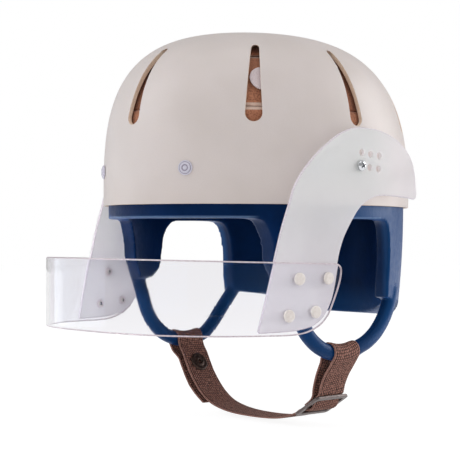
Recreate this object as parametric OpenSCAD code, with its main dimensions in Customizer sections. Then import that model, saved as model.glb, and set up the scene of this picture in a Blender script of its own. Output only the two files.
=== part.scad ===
// Hard shell helmet with a clear face bar, foam liner, ear loops and chin strap.
// Millimetres. +Z is up, the wearer looks along -Y, the wearer's left is +X.
// The origin is the middle of the shell's lower edge, where the head enters.

/* [Shell] */
// Outer width of the shell at its lower edge
shell_w = 205.2; // [198:0.2:212]
// Outer length of the shell at its lower edge
shell_l = 243.2; // [236:0.2:250]
// Height of the crown above the lower edge
shell_h = 126; // [120:1:134]
// Thickness of the shell wall
shell_t = 3; // [2.4:0.1:3.6]
// How far the crown sits in front of the middle
crown_forward = 6; // [0:0.5:10]

/* [Vents] */
// Number of vent slots round the crown
vent_count = 8; // [6:1:8]
// Width of a vent slot at its round lower end
vent_w = 11.5; // [8:0.5:13]
// Width of a vent slot at its upper end
vent_top_w = 5.5; // [4:0.5:7]
// Height of the lower end of the vent slots
vent_bottom = 55; // [53:1:60]
// Height of the upper end of the vent slots
vent_top = 110; // [100:1:112]

/* [Liner and pads] */
// Thickness of the foam liner
liner_t = 12.5; // [10:0.5:14]
// Room between the shell and the liner
liner_gap = 0.5; // [0.4:0.1:1]
// Height of the liner's upper edge inside the shell
liner_top = 47; // [42:1:50]
// How far the brow band hangs below the shell
brow_drop = 9.5; // [7:0.5:14]
// How far the temple tabs hang below the shell
temple_drop = 54; // [48:1:58]
// How far the nape hangs below the shell
nape_drop = 82; // [76:1:88]
// Thickness of the crown pad
crown_pad_t = 10; // [7:0.5:12]
// Height of the seam between the crown pad and its top disc
disc_z = 102; // [98:0.5:104]
// Room between the crown pad and the shell
crown_pad_gap = 2.6; // [2.5:0.1:3]
// Room between the rim pad and the crown pad above it
pad_split = 2.4; // [1.5:0.1:4]
// Diameter of a hook dot that holds the crown pad
dot_d = 19; // [12:1:20]
// Height of the hook dots' middles
dot_z = 85.5; // [80:0.5:88]

/* [Ear loops] */
// Diameter of the ear loop tube
loop_d = 10; // [8:0.1:11]
// Bend radius of the loop's round bottom
loop_r = 45; // [42:0.5:48]
// Depth of the tube's lowest middle point below the shell
loop_drop = 103.5; // [101:0.5:106]
// How far the loops' bottoms lie inside the shell's widest point
loop_inset = 18.1; // [16.6:0.5:20.6]
// Slope of the loop's front leg in degrees
loop_front_slope = 70; // [67:1:72]

/* [Face guard] */
// Room between the shell's widest point and each side arm
guard_gap = 1.4; // [1.2:0.1:4]
// Reach of the bar in front of the middle
guard_reach = 158.1; // [150:0.1:164]
// How square the bar's bend is, 2 is an ellipse
guard_square = 2.8; // [2.4:0.1:3.2]
// Height of the bar at its ends
bar_h = 47.2; // [40:0.2:54]
// Thickness of the bar
bar_t = 2.4; // [1.8:0.1:2.8]
// Depth of the bar's upper edge below the shell at its ends
bar_top_drop = 39.4; // [36:0.2:42]
// Rise of the bar's upper edge towards the front in degrees
bar_top_rake = 1.4; // [0:0.1:2]
// Rise of the bar's lower edge towards the front in degrees
bar_bottom_rake = 0.6; // [0:0.1:2]
// Thickness of a side arm
arm_t = 2.4; // [2:0.1:2.8]
// Height of the arms above the shell's lower edge
arm_rise = 53.4; // [50:0.5:56]
// Distance of the arm's rear edge behind the middle
arm_rear = 55.5; // [52:0.5:60]
// Tilt of the adjusting holes in degrees
hole_tilt = 5; // [0:1:8]
// Distance between adjusting holes along a row
hole_pitch_y = 9; // [8:0.5:10]
// Distance between the two rows of adjusting holes
hole_pitch_z = 9.2; // [8:0.2:10]
// Diameter of an adjusting hole that is not in use
hole_d = 5; // [4.6:0.1:5.6]

/* [Fasteners] */
// Height of the pivot screw above the shell's lower edge
pivot_z = 27; // [24:1:30]
// Distance of the pivot screw in front of the middle
pivot_front = 3.5; // [0:0.5:6]
// Diameter of the pivot screw's shank
screw_d = 4.2; // [3.8:0.1:4.4]
// Diameter of the pivot screw's head
screw_head_d = 7.6; // [7:0.1:9]
// Height of the pivot screw's head
screw_head_h = 2.6; // [2:0.1:3.2]
// Diameter of the spacer under each arm
spacer_d = 13; // [11:0.5:15]
// Radial room round the screw in the arm
pivot_clearance = 0.05; // [0.03:0.01:0.08]
// Room between moving flat faces
slide_clearance = 0.1; // [0.05:0.01:0.2]
// Head diameter of a shell rivet
rivet_head_d = 10; // [8:0.5:11]
// Head height of a shell rivet
rivet_head_h = 1.8; // [1.4:0.1:2.4]
// Shank diameter of a shell rivet
rivet_d = 4; // [3:0.2:5]
// Height of the shell rivets above the lower edge
rivet_z = 24; // [20:1:28]
// Angle from the front of the two rivets that carry the stand-offs
standoff_angle = 116; // [112:1:118]
// Diameter of the washer at a rivet's inner end
washer_d = 12; // [10:0.5:14]
// Cap diameter of a bar rivet
cap_d = 8.4; // [7:0.2:9]
// Cap height of a bar rivet
cap_h = 2.2; // [1.6:0.1:2.8]
// Shank diameter of a bar rivet
cap_shank_d = 3.4; // [3:0.1:4]
// Diameter of the stand-off behind each arm's rear edge
standoff_d = 10.5; // [8:0.5:12]

/* [Chin strap] */
// Width of the webbing
web_w = 25; // [20:1:26]
// Thickness of the webbing
web_t = 1.8; // [1.4:0.1:2]
// Room between the webbing and the loop tube
web_clearance = 0.4; // [0.3:0.05:0.6]
// Depth of the strap's lowest point below the shell
chin_drop = 154; // [150:1:160]
// Diameter of the snap fastener
snap_d = 15; // [12:0.5:16]
// Length of the strap slide along the webbing
slide_len = 26.5; // [26:0.5:30]
// Width of a bar of the strap slide
slide_bar = 3.5; // [3:0.1:4]
// Thickness of the strap slide
slide_t = 2; // [1.6:0.1:2.2]

/* [Hidden] */

$fn = 40;
half_w = shell_w / 2;
half_l = shell_l / 2;
guard_half_w = half_w + guard_gap + arm_t + bar_t;
loop_x = half_w - loop_inset;
crown_power = 3;        // roundness of the side profile: 2 is an ellipse, more is squarer
around = 48;            // facets round the shell, the liner and the pads
seat = 0.05;            // room left where one piece of a body sits on another
cut = 200;              // longer than anything that a cutter has to pass through
side_angle = 360 / vent_count;
plain_rivet_angles = [for (s = [-1, 1], a = [22.5, 67.5, 157.5]) s * a];
standoff_angles = [-standoff_angle, standoff_angle];
rivet_angles = concat(plain_rivet_angles, standoff_angles);

// Share of the shell's width that is left at height z
function crown_share(z, h) = z <= 0 ? 1 : z >= h ? 0 : pow(1 - pow(z / h, crown_power), 1 / crown_power);
// The crown leans forward with the square of the height
function lean(z) = z <= 0 ? 0 : -crown_forward * pow(z / shell_h, 2);
// Point of the shell's wall, inset from the outer face, at the angle a from the front and the height z
function wall_point(inset, a, z) =
    let (s = crown_share(z, shell_h - inset))
    [(half_w - inset) * s * sin(a), lean(z) - (half_l - inset) * s * cos(a), z];
// Distance from the axis to the wall at a polar angle p and height z
function polar_reach(inset, p, z) =
    let (s = crown_share(z, shell_h - inset), a = (half_w - inset) * s, b = (half_l - inset) * s)
    1 / sqrt(pow(sin(p) / a, 2) + pow(cos(p) / b, 2));
// Half of the shell's width at height z and distance y behind the middle
function half_width_at(inset, y, z) =
    let (s = crown_share(z, shell_h - inset), b = (half_l - inset) * s)
    (half_w - inset) * s * sqrt(1 - pow((y - lean(z)) / b, 2));

// Smooth curve through points, with n steps to a span
function curve_point(p, i, t) =
    let (a = p[max(i - 1, 0)], b = p[i], c = p[i + 1], d = p[min(i + 2, len(p) - 1)])
    0.5 * (2 * b + (c - a) * t + (2 * a - 5 * b + 4 * c - d) * t * t + (3 * b - a - 3 * c + d) * t * t * t);
function curve(p, n) = concat([for (i = [0 : len(p) - 2], k = [0 : n - 1]) curve_point(p, i, k / n)], [p[len(p) - 1]]);

// Surface between rings of points, as the outside and the inside of one wall
function ring_faces(rings, n, flip, base) =
    [for (r = [0 : rings - 2], i = [0 : n - 1], h = [0, 1])
        let (j = (i + 1) % n, a = base + r * n + i, b = base + r * n + j, c = base + (r + 1) * n + j,
             d = base + (r + 1) * n + i, f = h == 0 ? [a, d, c] : [a, c, b])
        flip ? [f[2], f[1], f[0]] : f];
function band_faces(outer, inner, n, flip) =
    [for (i = [0 : n - 1], h = [0, 1])
        let (j = (i + 1) % n, f = h == 0 ? [outer + i, outer + j, inner + j] : [outer + i, inner + j, inner + i])
        flip ? [f[2], f[1], f[0]] : f];

// Heights of rings from z0 to z1, closer together towards the crown
function dome_heights(z0, h, n) =
    let (b0 = asin(pow(z0 / h, crown_power / 2)))
    [for (i = [0 : n - 1]) h * pow(sin(b0 + (88 - b0) * pow(i / (n - 1), b0 > 0 ? 1 : 1.35)), 2 / crown_power)];

// A domed wall that is open below, from the height z0 to the crown
module dome_wall(inset, t, z0, rings) {
    outer = [for (z = dome_heights(z0, shell_h - inset, rings), i = [0 : around - 1])
        wall_point(inset, 360 * i / around, z)];
    inner = [for (z = dome_heights(z0, shell_h - inset - t, rings), i = [0 : around - 1])
        wall_point(inset + t, 360 * i / around, z)];
    m = rings * around;
    tips = [[0, lean(shell_h - inset), shell_h - inset], [0, lean(shell_h - inset - t), shell_h - inset - t]];
    top = (rings - 1) * around;
    polyhedron(
        points = concat(outer, inner, tips),
        faces = concat(
            ring_faces(rings, around, false, 0),
            ring_faces(rings, around, true, m),
            band_faces(0, m, around, false),
            [for (i = [0 : around - 1]) [top + i, 2 * m, top + (i + 1) % around]],
            [for (i = [0 : around - 1]) [m + top + i, m + top + (i + 1) % around, 2 * m + 1]]),
        convexity = 8);
}

// A ring-shaped wall between the heights in zs; tuck draws it in below the shell
function tuck(z) = z >= 0 ? 1 : 1 - 0.045 * pow(z / nape_drop, 2);
function liner_point(inset, a, z) =
    let (p = wall_point(inset, a, max(z, 0)))
    [p.x * tuck(z), p.y * tuck(z), z];
module ring_wall(inset, t, zs) {
    outer = [for (z = zs, i = [0 : around - 1]) liner_point(inset, 360 * i / around, z)];
    inner = [for (z = zs, i = [0 : around - 1]) liner_point(inset + t, 360 * i / around, z)];
    m = len(zs) * around;
    top = (len(zs) - 1) * around;
    polyhedron(
        points = concat(outer, inner),
        faces = concat(
            ring_faces(len(zs), around, false, 0),
            ring_faces(len(zs), around, true, m),
            band_faces(0, m, around, false),
            band_faces(top, m + top, around, true)),
        convexity = 8);
}

// Places children on the wall at the polar angle p and height z, with +Z pointing outwards and level
module on_wall(inset, p, z) {
    reach = polar_reach(inset, p, z);
    a = atan2(sin(p) * reach / (half_w - inset), cos(p) * reach / (half_l - inset));
    level = atan2(cos(a) / (half_l - inset), sin(a) / (half_w - inset));
    translate([reach * sin(p), lean(z) - reach * cos(p), z])
        rotate([0, 90, -level])
            children();
}

module vent_cutter() {
    low_r = vent_w / 2;
    top_r = vent_top_w / 2;
    outline = concat(
        [for (a = [180 : 20 : 360]) [low_r * cos(a), vent_bottom + low_r + low_r * sin(a)]],
        [for (a = [0 : 30 : 180]) [top_r * cos(a), vent_top - top_r + top_r * sin(a)]]);
    rotate([90, 0, 0])
        translate([0, 0, half_w / 3])
            linear_extrude(cut)
                polygon(outline);
}

// Clear shank holes for the rivets, from the outside to the liner's inner face
module rivet_holes(d) {
    for (p = rivet_angles)
        on_wall(0, p, rivet_z)
            translate([0, 0, -2 * liner_t - shell_t])
                cylinder(h = 2 * liner_t + 2 * shell_t + rivet_head_h, d = d);
}

module pivot_holes(d) {
    translate([0, -pivot_front, pivot_z])
        rotate([0, 90, 0])
            cylinder(h = 2 * cut, d = d, center = true);
}

// The moulded shell in two pieces that meet just below the vents
band_h = vent_bottom - 2;
module shell_band() {
    color([0.87, 0.85, 0.82])
        difference() {
            ring_wall(0, shell_t, [for (i = [0 : 5]) i * band_h / 5]);
            rivet_holes(rivet_d + 2 * seat);
            pivot_holes(screw_d + 2 * seat);
        }
}
module shell_crown() {
    color([0.87, 0.85, 0.82])
        difference() {
            dome_wall(0, shell_t, band_h, 10);
            for (i = [0 : vent_count - 1])
                rotate([0, 0, i * side_angle])
                    vent_cutter();
        }
}

// Side view of the liner as [y, z]: brow, temple tab, ear arch and nape
ear_top = brow_drop;
ear_front = -25;
ear_rear = 43;
temple_front = -58.5;
nape_front = 45;
weld = -0.2;            // room left where a soft piece meets another
liner_side = concat(
    [[-cut, cut], [-cut, -brow_drop]],
    curve([[-84, -brow_drop], [-71, -brow_drop - 0.8], [temple_front - 8, -16], [temple_front - 4.5, -27],
           [temple_front - 3, -40], [temple_front + 3, -temple_drop]], 3),
    curve([[-44, -temple_drop], [-36, -temple_drop + 2], [ear_front - 3, -temple_drop + 9],
           [ear_front, -36], [ear_front + 4, -20], [ear_front + 12, -ear_top - 1.5]], 3),
    curve([[-7, -ear_top], [ear_rear - 13, -ear_top], [ear_rear - 4, -ear_top - 3], [ear_rear, -22],
           [ear_rear + 1.5, -38], [ear_rear + 1, -54], [nape_front, nape_z(nape_front)]], 3),
    [[60, nape_z(60)], [75, nape_z(75)]],
    curve([[85, 8.5 - nape_drop], [93, 4 - nape_drop], [101, 0.4 - nape_drop], [108, -nape_drop]], 2),
    [[cut, -nape_drop], [cut, cut]]);
// Height of the nape's lower edge at the distance y behind the middle, up to y = 75
function nape_z(y) = 16.5 - nape_drop - 4 * (y - 45) / 30;

// Middle line of a loop: a round bottom in a plane of its own, and two legs that lean in
// until they lie in the outer layer of the liner
loop_centre = loop_r - loop_drop;
function loop_bend(a) = [loop_r * sin(a), loop_centre - loop_r * cos(a)];
loop_front_end = loop_bend(-loop_front_slope);
front_leg = (loop_front_end.y + temple_drop) / -sin(loop_front_slope);
function loop_lean(y) = abs(y) < 22 ? 0 : y < 0 ? 1.5 * pow((abs(y) - 22) / 28, 2) : 4 * pow((y - 22) / 32, 1.6);
// Rear legs as [y, height above the bend's lowest point]; the soft tubes hang unevenly
rear_leg_left = [[27, 7.2], [37, 13], [46, 21], [52.5, 29.5], [56.5, 38.5], [58.5, 46.5]];
rear_leg_right = [[27.5, 11], [34, 19], [40.5, 27.5], [47, 36], [52, 43.5]];
function loop_line(bend_end, rear_leg) = [for (p = concat(
    [for (k = [1.12, 0.85, 0.55, 0.25]) loop_front_end + k * front_leg * [-cos(loop_front_slope), sin(loop_front_slope)]],
    [for (i = [0 : 15]) loop_bend(-loop_front_slope + i * (loop_front_slope + bend_end) / 15)],
    curve([for (q = rear_leg) [q.x, q.y - loop_drop]], 2)))
    [loop_x - loop_lean(p.x), p.x, p.y]];

// A tube with n sides along a line of points, with rings square to the YZ direction of the line
module tube(line, d, n) {
    m = len(line);
    r = d / 2 / cos(180 / n);
    points = [for (i = [0 : m - 1])
        let (v = line[min(i + 1, m - 1)] - line[max(i - 1, 0)], u = [v.y, v.z] / norm([v.y, v.z]))
        for (k = [0 : n - 1])
            let (a = 360 * (k + 0.5) / n)
            line[i] + r * [cos(a), -u.y * sin(a), u.x * sin(a)]];
    polyhedron(
        points = points,
        faces = concat(
            ring_faces(m, n, true, 0),
            [[for (k = [n - 1 : -1 : 0]) k]],
            [[for (k = [0 : n - 1]) (m - 1) * n + k]]),
        convexity = 6);
}
// The loop's ends are cut along the liner's lower edges, where they are welded to it
module ear_loop(bend_end, rear_leg) {
    color([0.08, 0.16, 0.34])
        difference() {
            tube(loop_line(bend_end, rear_leg), loop_d, 12);
            translate([loop_x - 30, -100, weld - temple_drop])
                cube([60, 90, 60]);
            rotate([90, 0, 90])
                linear_extrude(cut)
                    polygon([[20, nape_z(20) + weld], [75, nape_z(75) + weld], [75, 0], [20, 0]]);
        }
}
module ear_loop_left() ear_loop(24, rear_leg_left);
module ear_loop_right() mirror([1, 0, 0]) ear_loop(28, rear_leg_right);

liner_inset = shell_t + liner_gap;
module foam_liner() {
    color([0.08, 0.16, 0.34])
        difference() {
            intersection() {
                ring_wall(liner_inset, liner_t, [-nape_drop - 6, -nape_drop * 0.72, -nape_drop * 0.45, -20, 0, 24, liner_top]);
                rotate([90, 0, 90])
                    linear_extrude(2 * cut, center = true)
                        polygon(liner_side);
            }
            rivet_holes(rivet_d + 2 * seat);
            for (s = [-1, 1])
                translate([s * (nut_x + nut_depth / 2), -pivot_front, pivot_z])
                    rotate([0, 90, 0])
                        cylinder(h = nut_depth + 4, d = nut_flange_d + 1, center = true);
        }
}

rim_pad_h = vent_bottom + 11 - liner_top;
rim_seat = 0.3;
module rim_pad() {
    color([0.48, 0.32, 0.24])
        ring_wall(shell_t + 1.2, liner_t - 1, [liner_top + rim_seat, liner_top + rim_pad_h / 2, liner_top + rim_pad_h]);
}
crown_pad_z = liner_top + rim_pad_h + pad_split;
module crown_pad() {
    rise = disc_z - crown_pad_z;
    color([0.48, 0.32, 0.24])
        ring_wall(shell_t + crown_pad_gap, crown_pad_t,
                  [for (k = [0, 0.3, 0.55, 0.75, 0.9, 1]) crown_pad_z + k * rise]);
}
module crown_disc() {
    color([0.48, 0.32, 0.24])
        dome_wall(shell_t + crown_pad_gap, crown_pad_t, disc_z + 0.4, 5);
}

// Hook dots stand on the crown pad just beside the diagonal vents
dot_t = crown_pad_gap - 1.5;
module hook_dots() {
    color([0.9, 0.9, 0.88])
        for (p = [45 : 90 : 315])
            wall_dot(shell_t + crown_pad_gap - dot_t - 0.25, p + 5, dot_z);
}
// A disc of the dots' thickness, square to the domed wall
module wall_dot(inset, p, z) {
    h = shell_h - inset;
    s = crown_share(z, h);
    reach = polar_reach(inset, p, z);
    q = [reach * sin(p), -reach * cos(p)];
    slope = [s * q.x / pow(half_w - inset, 2), s * q.y / pow(half_l - inset, 2), z * z / pow(h, 3)];
    flat = norm([slope.x, slope.y]);
    translate([q.x, q.y + lean(z), z])
        rotate([0, atan2(flat, slope.z), atan2(slope.y, slope.x)])
            translate([0, 0, -dot_t])
                cylinder(h = dot_t, d = dot_d);
}

// Rivet shank from under the head to the washer on the liner's inner face
rivet_grip = shell_t + liner_gap + liner_t + 1.2;
shank_out = 2.6;
module shell_rivets() {
    color([0.82, 0.82, 0.86]) {
        for (p = plain_rivet_angles)
            on_wall(0, p, rivet_z) {
                translate([0, 0, -rivet_grip - 1.6])
                    cylinder(h = rivet_grip + 1.6 + 1, d = rivet_d);
                translate([0, 0, 0.35])
                    rotate_extrude()
                        polygon([[0, 0], [rivet_head_d / 2, 0], [rivet_head_d / 2, rivet_head_h * 0.4],
                                 [rivet_head_d * 0.38, rivet_head_h * 0.7], [rivet_head_d * 0.3, rivet_head_h * 0.7],
                                 [rivet_head_d * 0.24, rivet_head_h], [0, rivet_head_h]]);
            }
        for (p = standoff_angles)
            on_wall(0, p, rivet_z)
                translate([0, 0, -rivet_grip - 1.6])
                    cylinder(h = rivet_grip + 1.6 + shank_out, d = rivet_d);
    }
}
module rivet_washers() {
    color([0.7, 0.7, 0.72])
        for (p = rivet_angles)
            on_wall(0, p, rivet_z)
                translate([0, 0, -rivet_grip - 1.2])
                    difference() {
                        cylinder(h = 1, d = washer_d);
                        translate([0, 0, -1])
                            cylinder(h = 3, d = rivet_d + 2 * seat);
                    }
}

// Plan of the face guard: straight sides and a squarish bend across the front
guard_start = 18;
guard_depth = guard_reach - guard_start;
function guard_side(y) =
    let (q = -y - guard_start)
    q <= 0 ? guard_half_w : guard_half_w * pow(1 - pow(q / guard_depth, guard_square), 1 / guard_square);
function guard_slope(x, y) =
    let (q = max(-y - guard_start, 0),
         gx = pow(abs(x) / guard_half_w, guard_square - 1) / guard_half_w * sign(x),
         gy = -pow(q / guard_depth, guard_square - 1) / guard_depth)
    [gx, gy] / norm([gx, gy]);
function guard_bend(a) =
    let (r = pow(pow(abs(sin(a)) / guard_half_w, guard_square) + pow(cos(a) / guard_depth, guard_square),
                 -1 / guard_square))
    [r * sin(a), -guard_start - r * cos(a)];
function guard_line(inset, from, to, step) =
    [for (a = [from : step : to]) let (p = guard_bend(a)) p - inset * guard_slope(p.x, p.y)];

// Plan of one side arm, which follows the inside of the bar
module arm_plan() {
    outer = guard_line(bar_t, 30, 90, 3);
    inner = guard_line(bar_t + arm_t, 30, 90, 3);
    back = arm_rear + 20;
    polygon(concat(
        outer, [[guard_half_w - bar_t, back], [guard_half_w - bar_t - arm_t, back]],
        [for (i = [len(inner) - 1 : -1 : 0]) inner[i]]));
}

bar_bottom = bar_top_drop + bar_h;
// Side view of an arm as [y, z]
arm_side = concat(
    [[-92, 2.2 - bar_bottom], [-93, 3.4 - bar_bottom]],
    curve([[-92.4, 6 - bar_bottom], [-87.8, -63], [-81, -37], [-75.5, -17], [-69.5, 0], [-65.5, 11], [-58, 22],
           [-46, arm_rise - 19.6], [-33, arm_rise - 10.3], [-22, arm_rise - 4.3], [-10, arm_rise - 0.6],
           [2, arm_rise], [16, arm_rise - 1], [29, arm_rise - 4.6], [39, arm_rise - 9.6],
           [arm_rear - 9.5, arm_rise - 15.2], [arm_rear - 4.4, arm_rise - 22], [arm_rear - 1.4, 21],
           [arm_rear, 9]], 3),
    [[arm_rear - 0.6, 6], [arm_rear - 2.6, 5]],
    curve([[arm_rear - 9, 5.7], [25, 7], [11, 5.9], [-0.7, 0.7], [-9, -6.8], [-19, -20.4], [-24, -31],
           [-27, -42], [-30, -55], [-34, -66], [-41, -75.5], [-50.5, -81], [-64.5, 3.1 - bar_bottom],
           [-80, 2.4 - bar_bottom]], 3));

// The adjusting holes are a grid that hangs on the pivot hole
hole_grid = [for (i = [0 : 2], j = [0 : 1]) if (i + j > 0)
    let (y = i * hole_pitch_y, z = j * hole_pitch_z)
    [-pivot_front + y * cos(hole_tilt) + z * sin(hole_tilt), pivot_z - y * sin(hole_tilt) + z * cos(hole_tilt)]];
// Bar rivets as [y, depth below the bar's upper edge], the same on both sides
bar_rivet_spots = [[-64, 10], [-38.5, 10], [-72.5, 34], [-50, 32]];

module side_arm_left() {
    color([0.93, 0.93, 0.95, 0.8])
        difference() {
            intersection() {
                translate([0, 0, -cut / 2])
                    linear_extrude(cut)
                        arm_plan();
                translate([50, 0, 0])
                    rotate([90, 0, 90])
                        linear_extrude(cut)
                            polygon(arm_side);
            }
            translate([guard_half_w - 10, -pivot_front, pivot_z])
                rotate([0, 90, 0])
                    cylinder(h = 20, d = screw_d + 2 * pivot_clearance);
            for (h = hole_grid)
                translate([guard_half_w - 10, h.x, h.y])
                    rotate([0, 90, 0])
                        cylinder(h = 20, d = hole_d);
            bar_rivet_holes();
        }
}
module side_arm_right() mirror([1, 0, 0]) side_arm_left();

// Places children on the bar's outer face on the wearer's left, with +Z outwards
module on_bar(spot) {
    x = guard_side(spot.x);
    n = guard_slope(x, spot.x);
    translate([x, spot.x, -bar_top_drop - spot.y])
        rotate([0, 90, atan2(n.y, n.x)])
            children();
}
module bar_rivet_holes() {
    for (s = bar_rivet_spots)
        on_bar(s)
            translate([0, 0, -20])
                cylinder(h = 30, d = cap_shank_d + 2 * seat);
}

// Side view of the bar as [y, z], with rounded rear corners
bar_rear = -24.4;
bar_side = concat(
    [[-cut, cut * tan(bar_top_rake) - bar_top_drop], [bar_rear - 9, -bar_top_drop]],
    curve([[bar_rear - 6, -bar_top_drop], [bar_rear - 1.8, -bar_top_drop - 1.4],
           [bar_rear, -bar_top_drop - 5.5], [bar_rear - 2, -bar_top_drop - 14],
           [bar_rear - 7, -bar_top_drop - 25], [bar_rear - 12.6, 12.5 - bar_bottom],
           [bar_rear - 20, 6 - bar_bottom], [bar_rear - 30, 2 - bar_bottom],
           [bar_rear - 40, 0.3 - bar_bottom], [bar_rear - 50, -bar_bottom]], 4),
    [[-cut, cut * tan(bar_bottom_rake) - bar_bottom]]);
module face_bar() {
    outer = guard_line(0, -90, 90, 3);
    inner = guard_line(bar_t, -90, 90, 3);
    color([0.9, 0.92, 0.95, 0.35])
        difference() {
            intersection() {
                translate([0, 0, -cut / 2])
                    linear_extrude(cut)
                        polygon(concat(
                            [[-guard_half_w, 0]], outer, [[guard_half_w, 0], [guard_half_w - bar_t, 0]],
                            [for (i = [len(inner) - 1 : -1 : 0]) inner[i]], [[bar_t - guard_half_w, 0]]));
                rotate([90, 0, 90])
                    linear_extrude(cut + 50, center = true)
                        polygon(bar_side);
            }
            bar_rivet_holes();
            mirror([1, 0, 0])
                bar_rivet_holes();
        }
}

module bar_rivets_left() {
    color([0.93, 0.91, 0.88])
        for (s = bar_rivet_spots)
            on_bar(s) {
                translate([0, 0, -bar_t - arm_t - 1.2])
                    cylinder(h = bar_t + arm_t + 2, d = cap_shank_d);
                translate([0, 0, seat + 0.1])
                    rotate_extrude()
                        polygon(concat([[0, 0], [cap_d / 2, 0], [cap_d / 2, cap_h * 0.5]],
                            [for (a = [20 : 20 : 90]) [cap_d / 2 * cos(a), cap_h * (0.5 + 0.5 * sin(a))]]));
            }
}
module bar_rivets_right() mirror([1, 0, 0]) bar_rivets_left();
module rivet_backs_left() {
    color([0.8, 0.8, 0.82])
        for (s = bar_rivet_spots)
            on_bar(s)
                translate([0, 0, -bar_t - arm_t - 1.1])
                    difference() {
                        cylinder(h = 0.9, d = cap_d * 0.75);
                        translate([0, 0, -1])
                            cylinder(h = 3, d = cap_shank_d + 2 * seat);
                    }
}
module rivet_backs_right() mirror([1, 0, 0]) rivet_backs_left();

// Pivot stack on the wearer's left, from the shell out to the screw head
arm_inner_x = guard_half_w - bar_t - arm_t;
arm_outer_x = guard_half_w - bar_t;
shell_x = half_width_at(0, -pivot_front, pivot_z);
shell_in_x = half_width_at(shell_t, -pivot_front, pivot_z);
nut_flange_d = 13;
nut_flange_t = 1;
nut_depth = 7;
nut_x = shell_in_x - liner_gap - nut_depth;
module at_pivot(x) {
    translate([x, -pivot_front, pivot_z])
        rotate([0, 90, 0])
            children();
}
module pivot_screw_left() {
    head_x = arm_outer_x + slide_clearance;
    color([0.8, 0.81, 0.83])
        difference() {
            union() {
                at_pivot(nut_x - 1)
                    cylinder(h = head_x + 1 - nut_x + 0.5, d = screw_d);
                at_pivot(head_x)
                    rotate_extrude()
                        polygon(concat([[0, 0], [screw_head_d / 2, 0], [screw_head_d / 2, screw_head_h * 0.45]],
                            [for (a = [15 : 15 : 90]) [screw_head_d / 2 * cos(a), screw_head_h * (0.45 + 0.55 * sin(a))]]));
            }
            for (a = [35, 125])
                at_pivot(head_x + screw_head_h - 1.3)
                    rotate([0, 0, a])
                        translate([-2, -0.5, 0])
                            cube([4, 1, 4]);
        }
}
module pivot_screw_right() mirror([1, 0, 0]) pivot_screw_left();
module pivot_spacer_left() {
    color([0.86, 0.84, 0.82])
        difference() {
            at_pivot(shell_x + 0.3)
                cylinder(h = arm_inner_x - slide_clearance - shell_x - 0.3, d = spacer_d);
            at_pivot(shell_x - 2)
                cylinder(h = 20, d = screw_d + 2 * seat);
        }
}
module pivot_spacer_right() mirror([1, 0, 0]) pivot_spacer_left();
module pivot_nut_left() {
    color([0.75, 0.75, 0.77])
        difference() {
            union() {
                at_pivot(nut_x)
                    cylinder(h = nut_depth - nut_flange_t, d = screw_d + 3);
                at_pivot(nut_x + nut_depth - nut_flange_t - 0.3)
                    cylinder(h = nut_flange_t, d = nut_flange_d);
            }
            at_pivot(nut_x - 2)
                cylinder(h = 20, d = screw_d + 2 * seat);
        }
}
module pivot_nut_right() mirror([1, 0, 0]) pivot_nut_left();

// A stand-off on each side is the head of the rivet there and keeps the arm clear of the shell.
// Its end is cut parallel to the arm.
module rear_standoffs() {
    face_x = arm_inner_x - 2 * slide_clearance;
    color([0.88, 0.87, 0.85])
        for (s = [-1, 1])
            difference() {
                on_wall(0, s * standoff_angle, rivet_z)
                    translate([0, 0, 0.45])
                        cylinder(h = 20, d = standoff_d);
                on_wall(0, s * standoff_angle, rivet_z)
                    translate([0, 0, -1])
                        cylinder(h = 1 + shank_out + 2 * seat, d = rivet_d + 2 * seat);
                translate([s * (face_x + 50), 0, 0])
                    cube([100, cut, cut], center = true);
            }
}

// Webbing: a flat band along a path in the XZ plane. Where it rides on a loop it is saddled
// about the axis through the loops' bends, so that it can slide round them.
saddle_full = loop_drop + 3;
saddle_gone = saddle_full + 14;
function saddle(z, y) =
    let (k = (z + saddle_gone) / (saddle_gone - saddle_full), share = min(max(k, 0), 1), r = loop_centre - z)
    share * (r - sqrt(r * r - y * y));
module webbing(path) {
    n = len(path);
    across = [for (j = [0 : 4]) web_w * (j / 4 - 0.5)];
    side = [for (i = [0 : n - 1])
        let (d = path[min(i + 1, n - 1)] - path[max(i - 1, 0)])
        [-d.y, d.x] / norm(d) * web_t / 2];
    points = [for (i = [0 : n - 1], s = [1, -1], y = across)
        let (p = path[i] + s * side[i])
        [p.x, y, p.y + saddle(p.y, y)]];
    polyhedron(
        points = points,
        faces = concat(
            [for (i = [0 : n - 2], j = [0 : 3], h = [0, 1])
                let (a = 10 * i + j)
                h == 0 ? [a, a + 10, a + 11] : [a, a + 11, a + 1]],
            [for (i = [0 : n - 2], j = [5 : 8], h = [0, 1])
                let (a = 10 * i + j)
                h == 0 ? [a, a + 11, a + 10] : [a, a + 1, a + 11]],
            [for (i = [0 : n - 2], e = [0, 4], h = [0, 1])
                let (a = 10 * i + e, b = a + 5,
                     f = h == 0 ? [a, b, b + 10] : [a, b + 10, a + 10])
                e == 0 ? f : [f[2], f[1], f[0]]],
            [for (j = [0 : 3], h = [0, 1]) h == 0 ? [j, j + 1, j + 6] : [j, j + 6, j + 5]],
            [for (j = [0 : 3], h = [0, 1])
                let (a = 10 * (n - 1) + j)
                h == 0 ? [a, a + 6, a + 1] : [a, a + 5, a + 6]]),
        convexity = 6);
}

// Fold of the webbing over the tube on the side s, at the angle a
fold_r = loop_d / 2 + web_clearance + web_t / 2;
function fold_at(s, a) = [s * loop_x + fold_r * cos(a), -loop_drop + fold_r * sin(a)];
// Point beside the fold on the side s, as offsets outwards and upwards from the tube's middle
function by_fold(s, out, up) = [s * (loop_x + out), -loop_drop + up];

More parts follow.
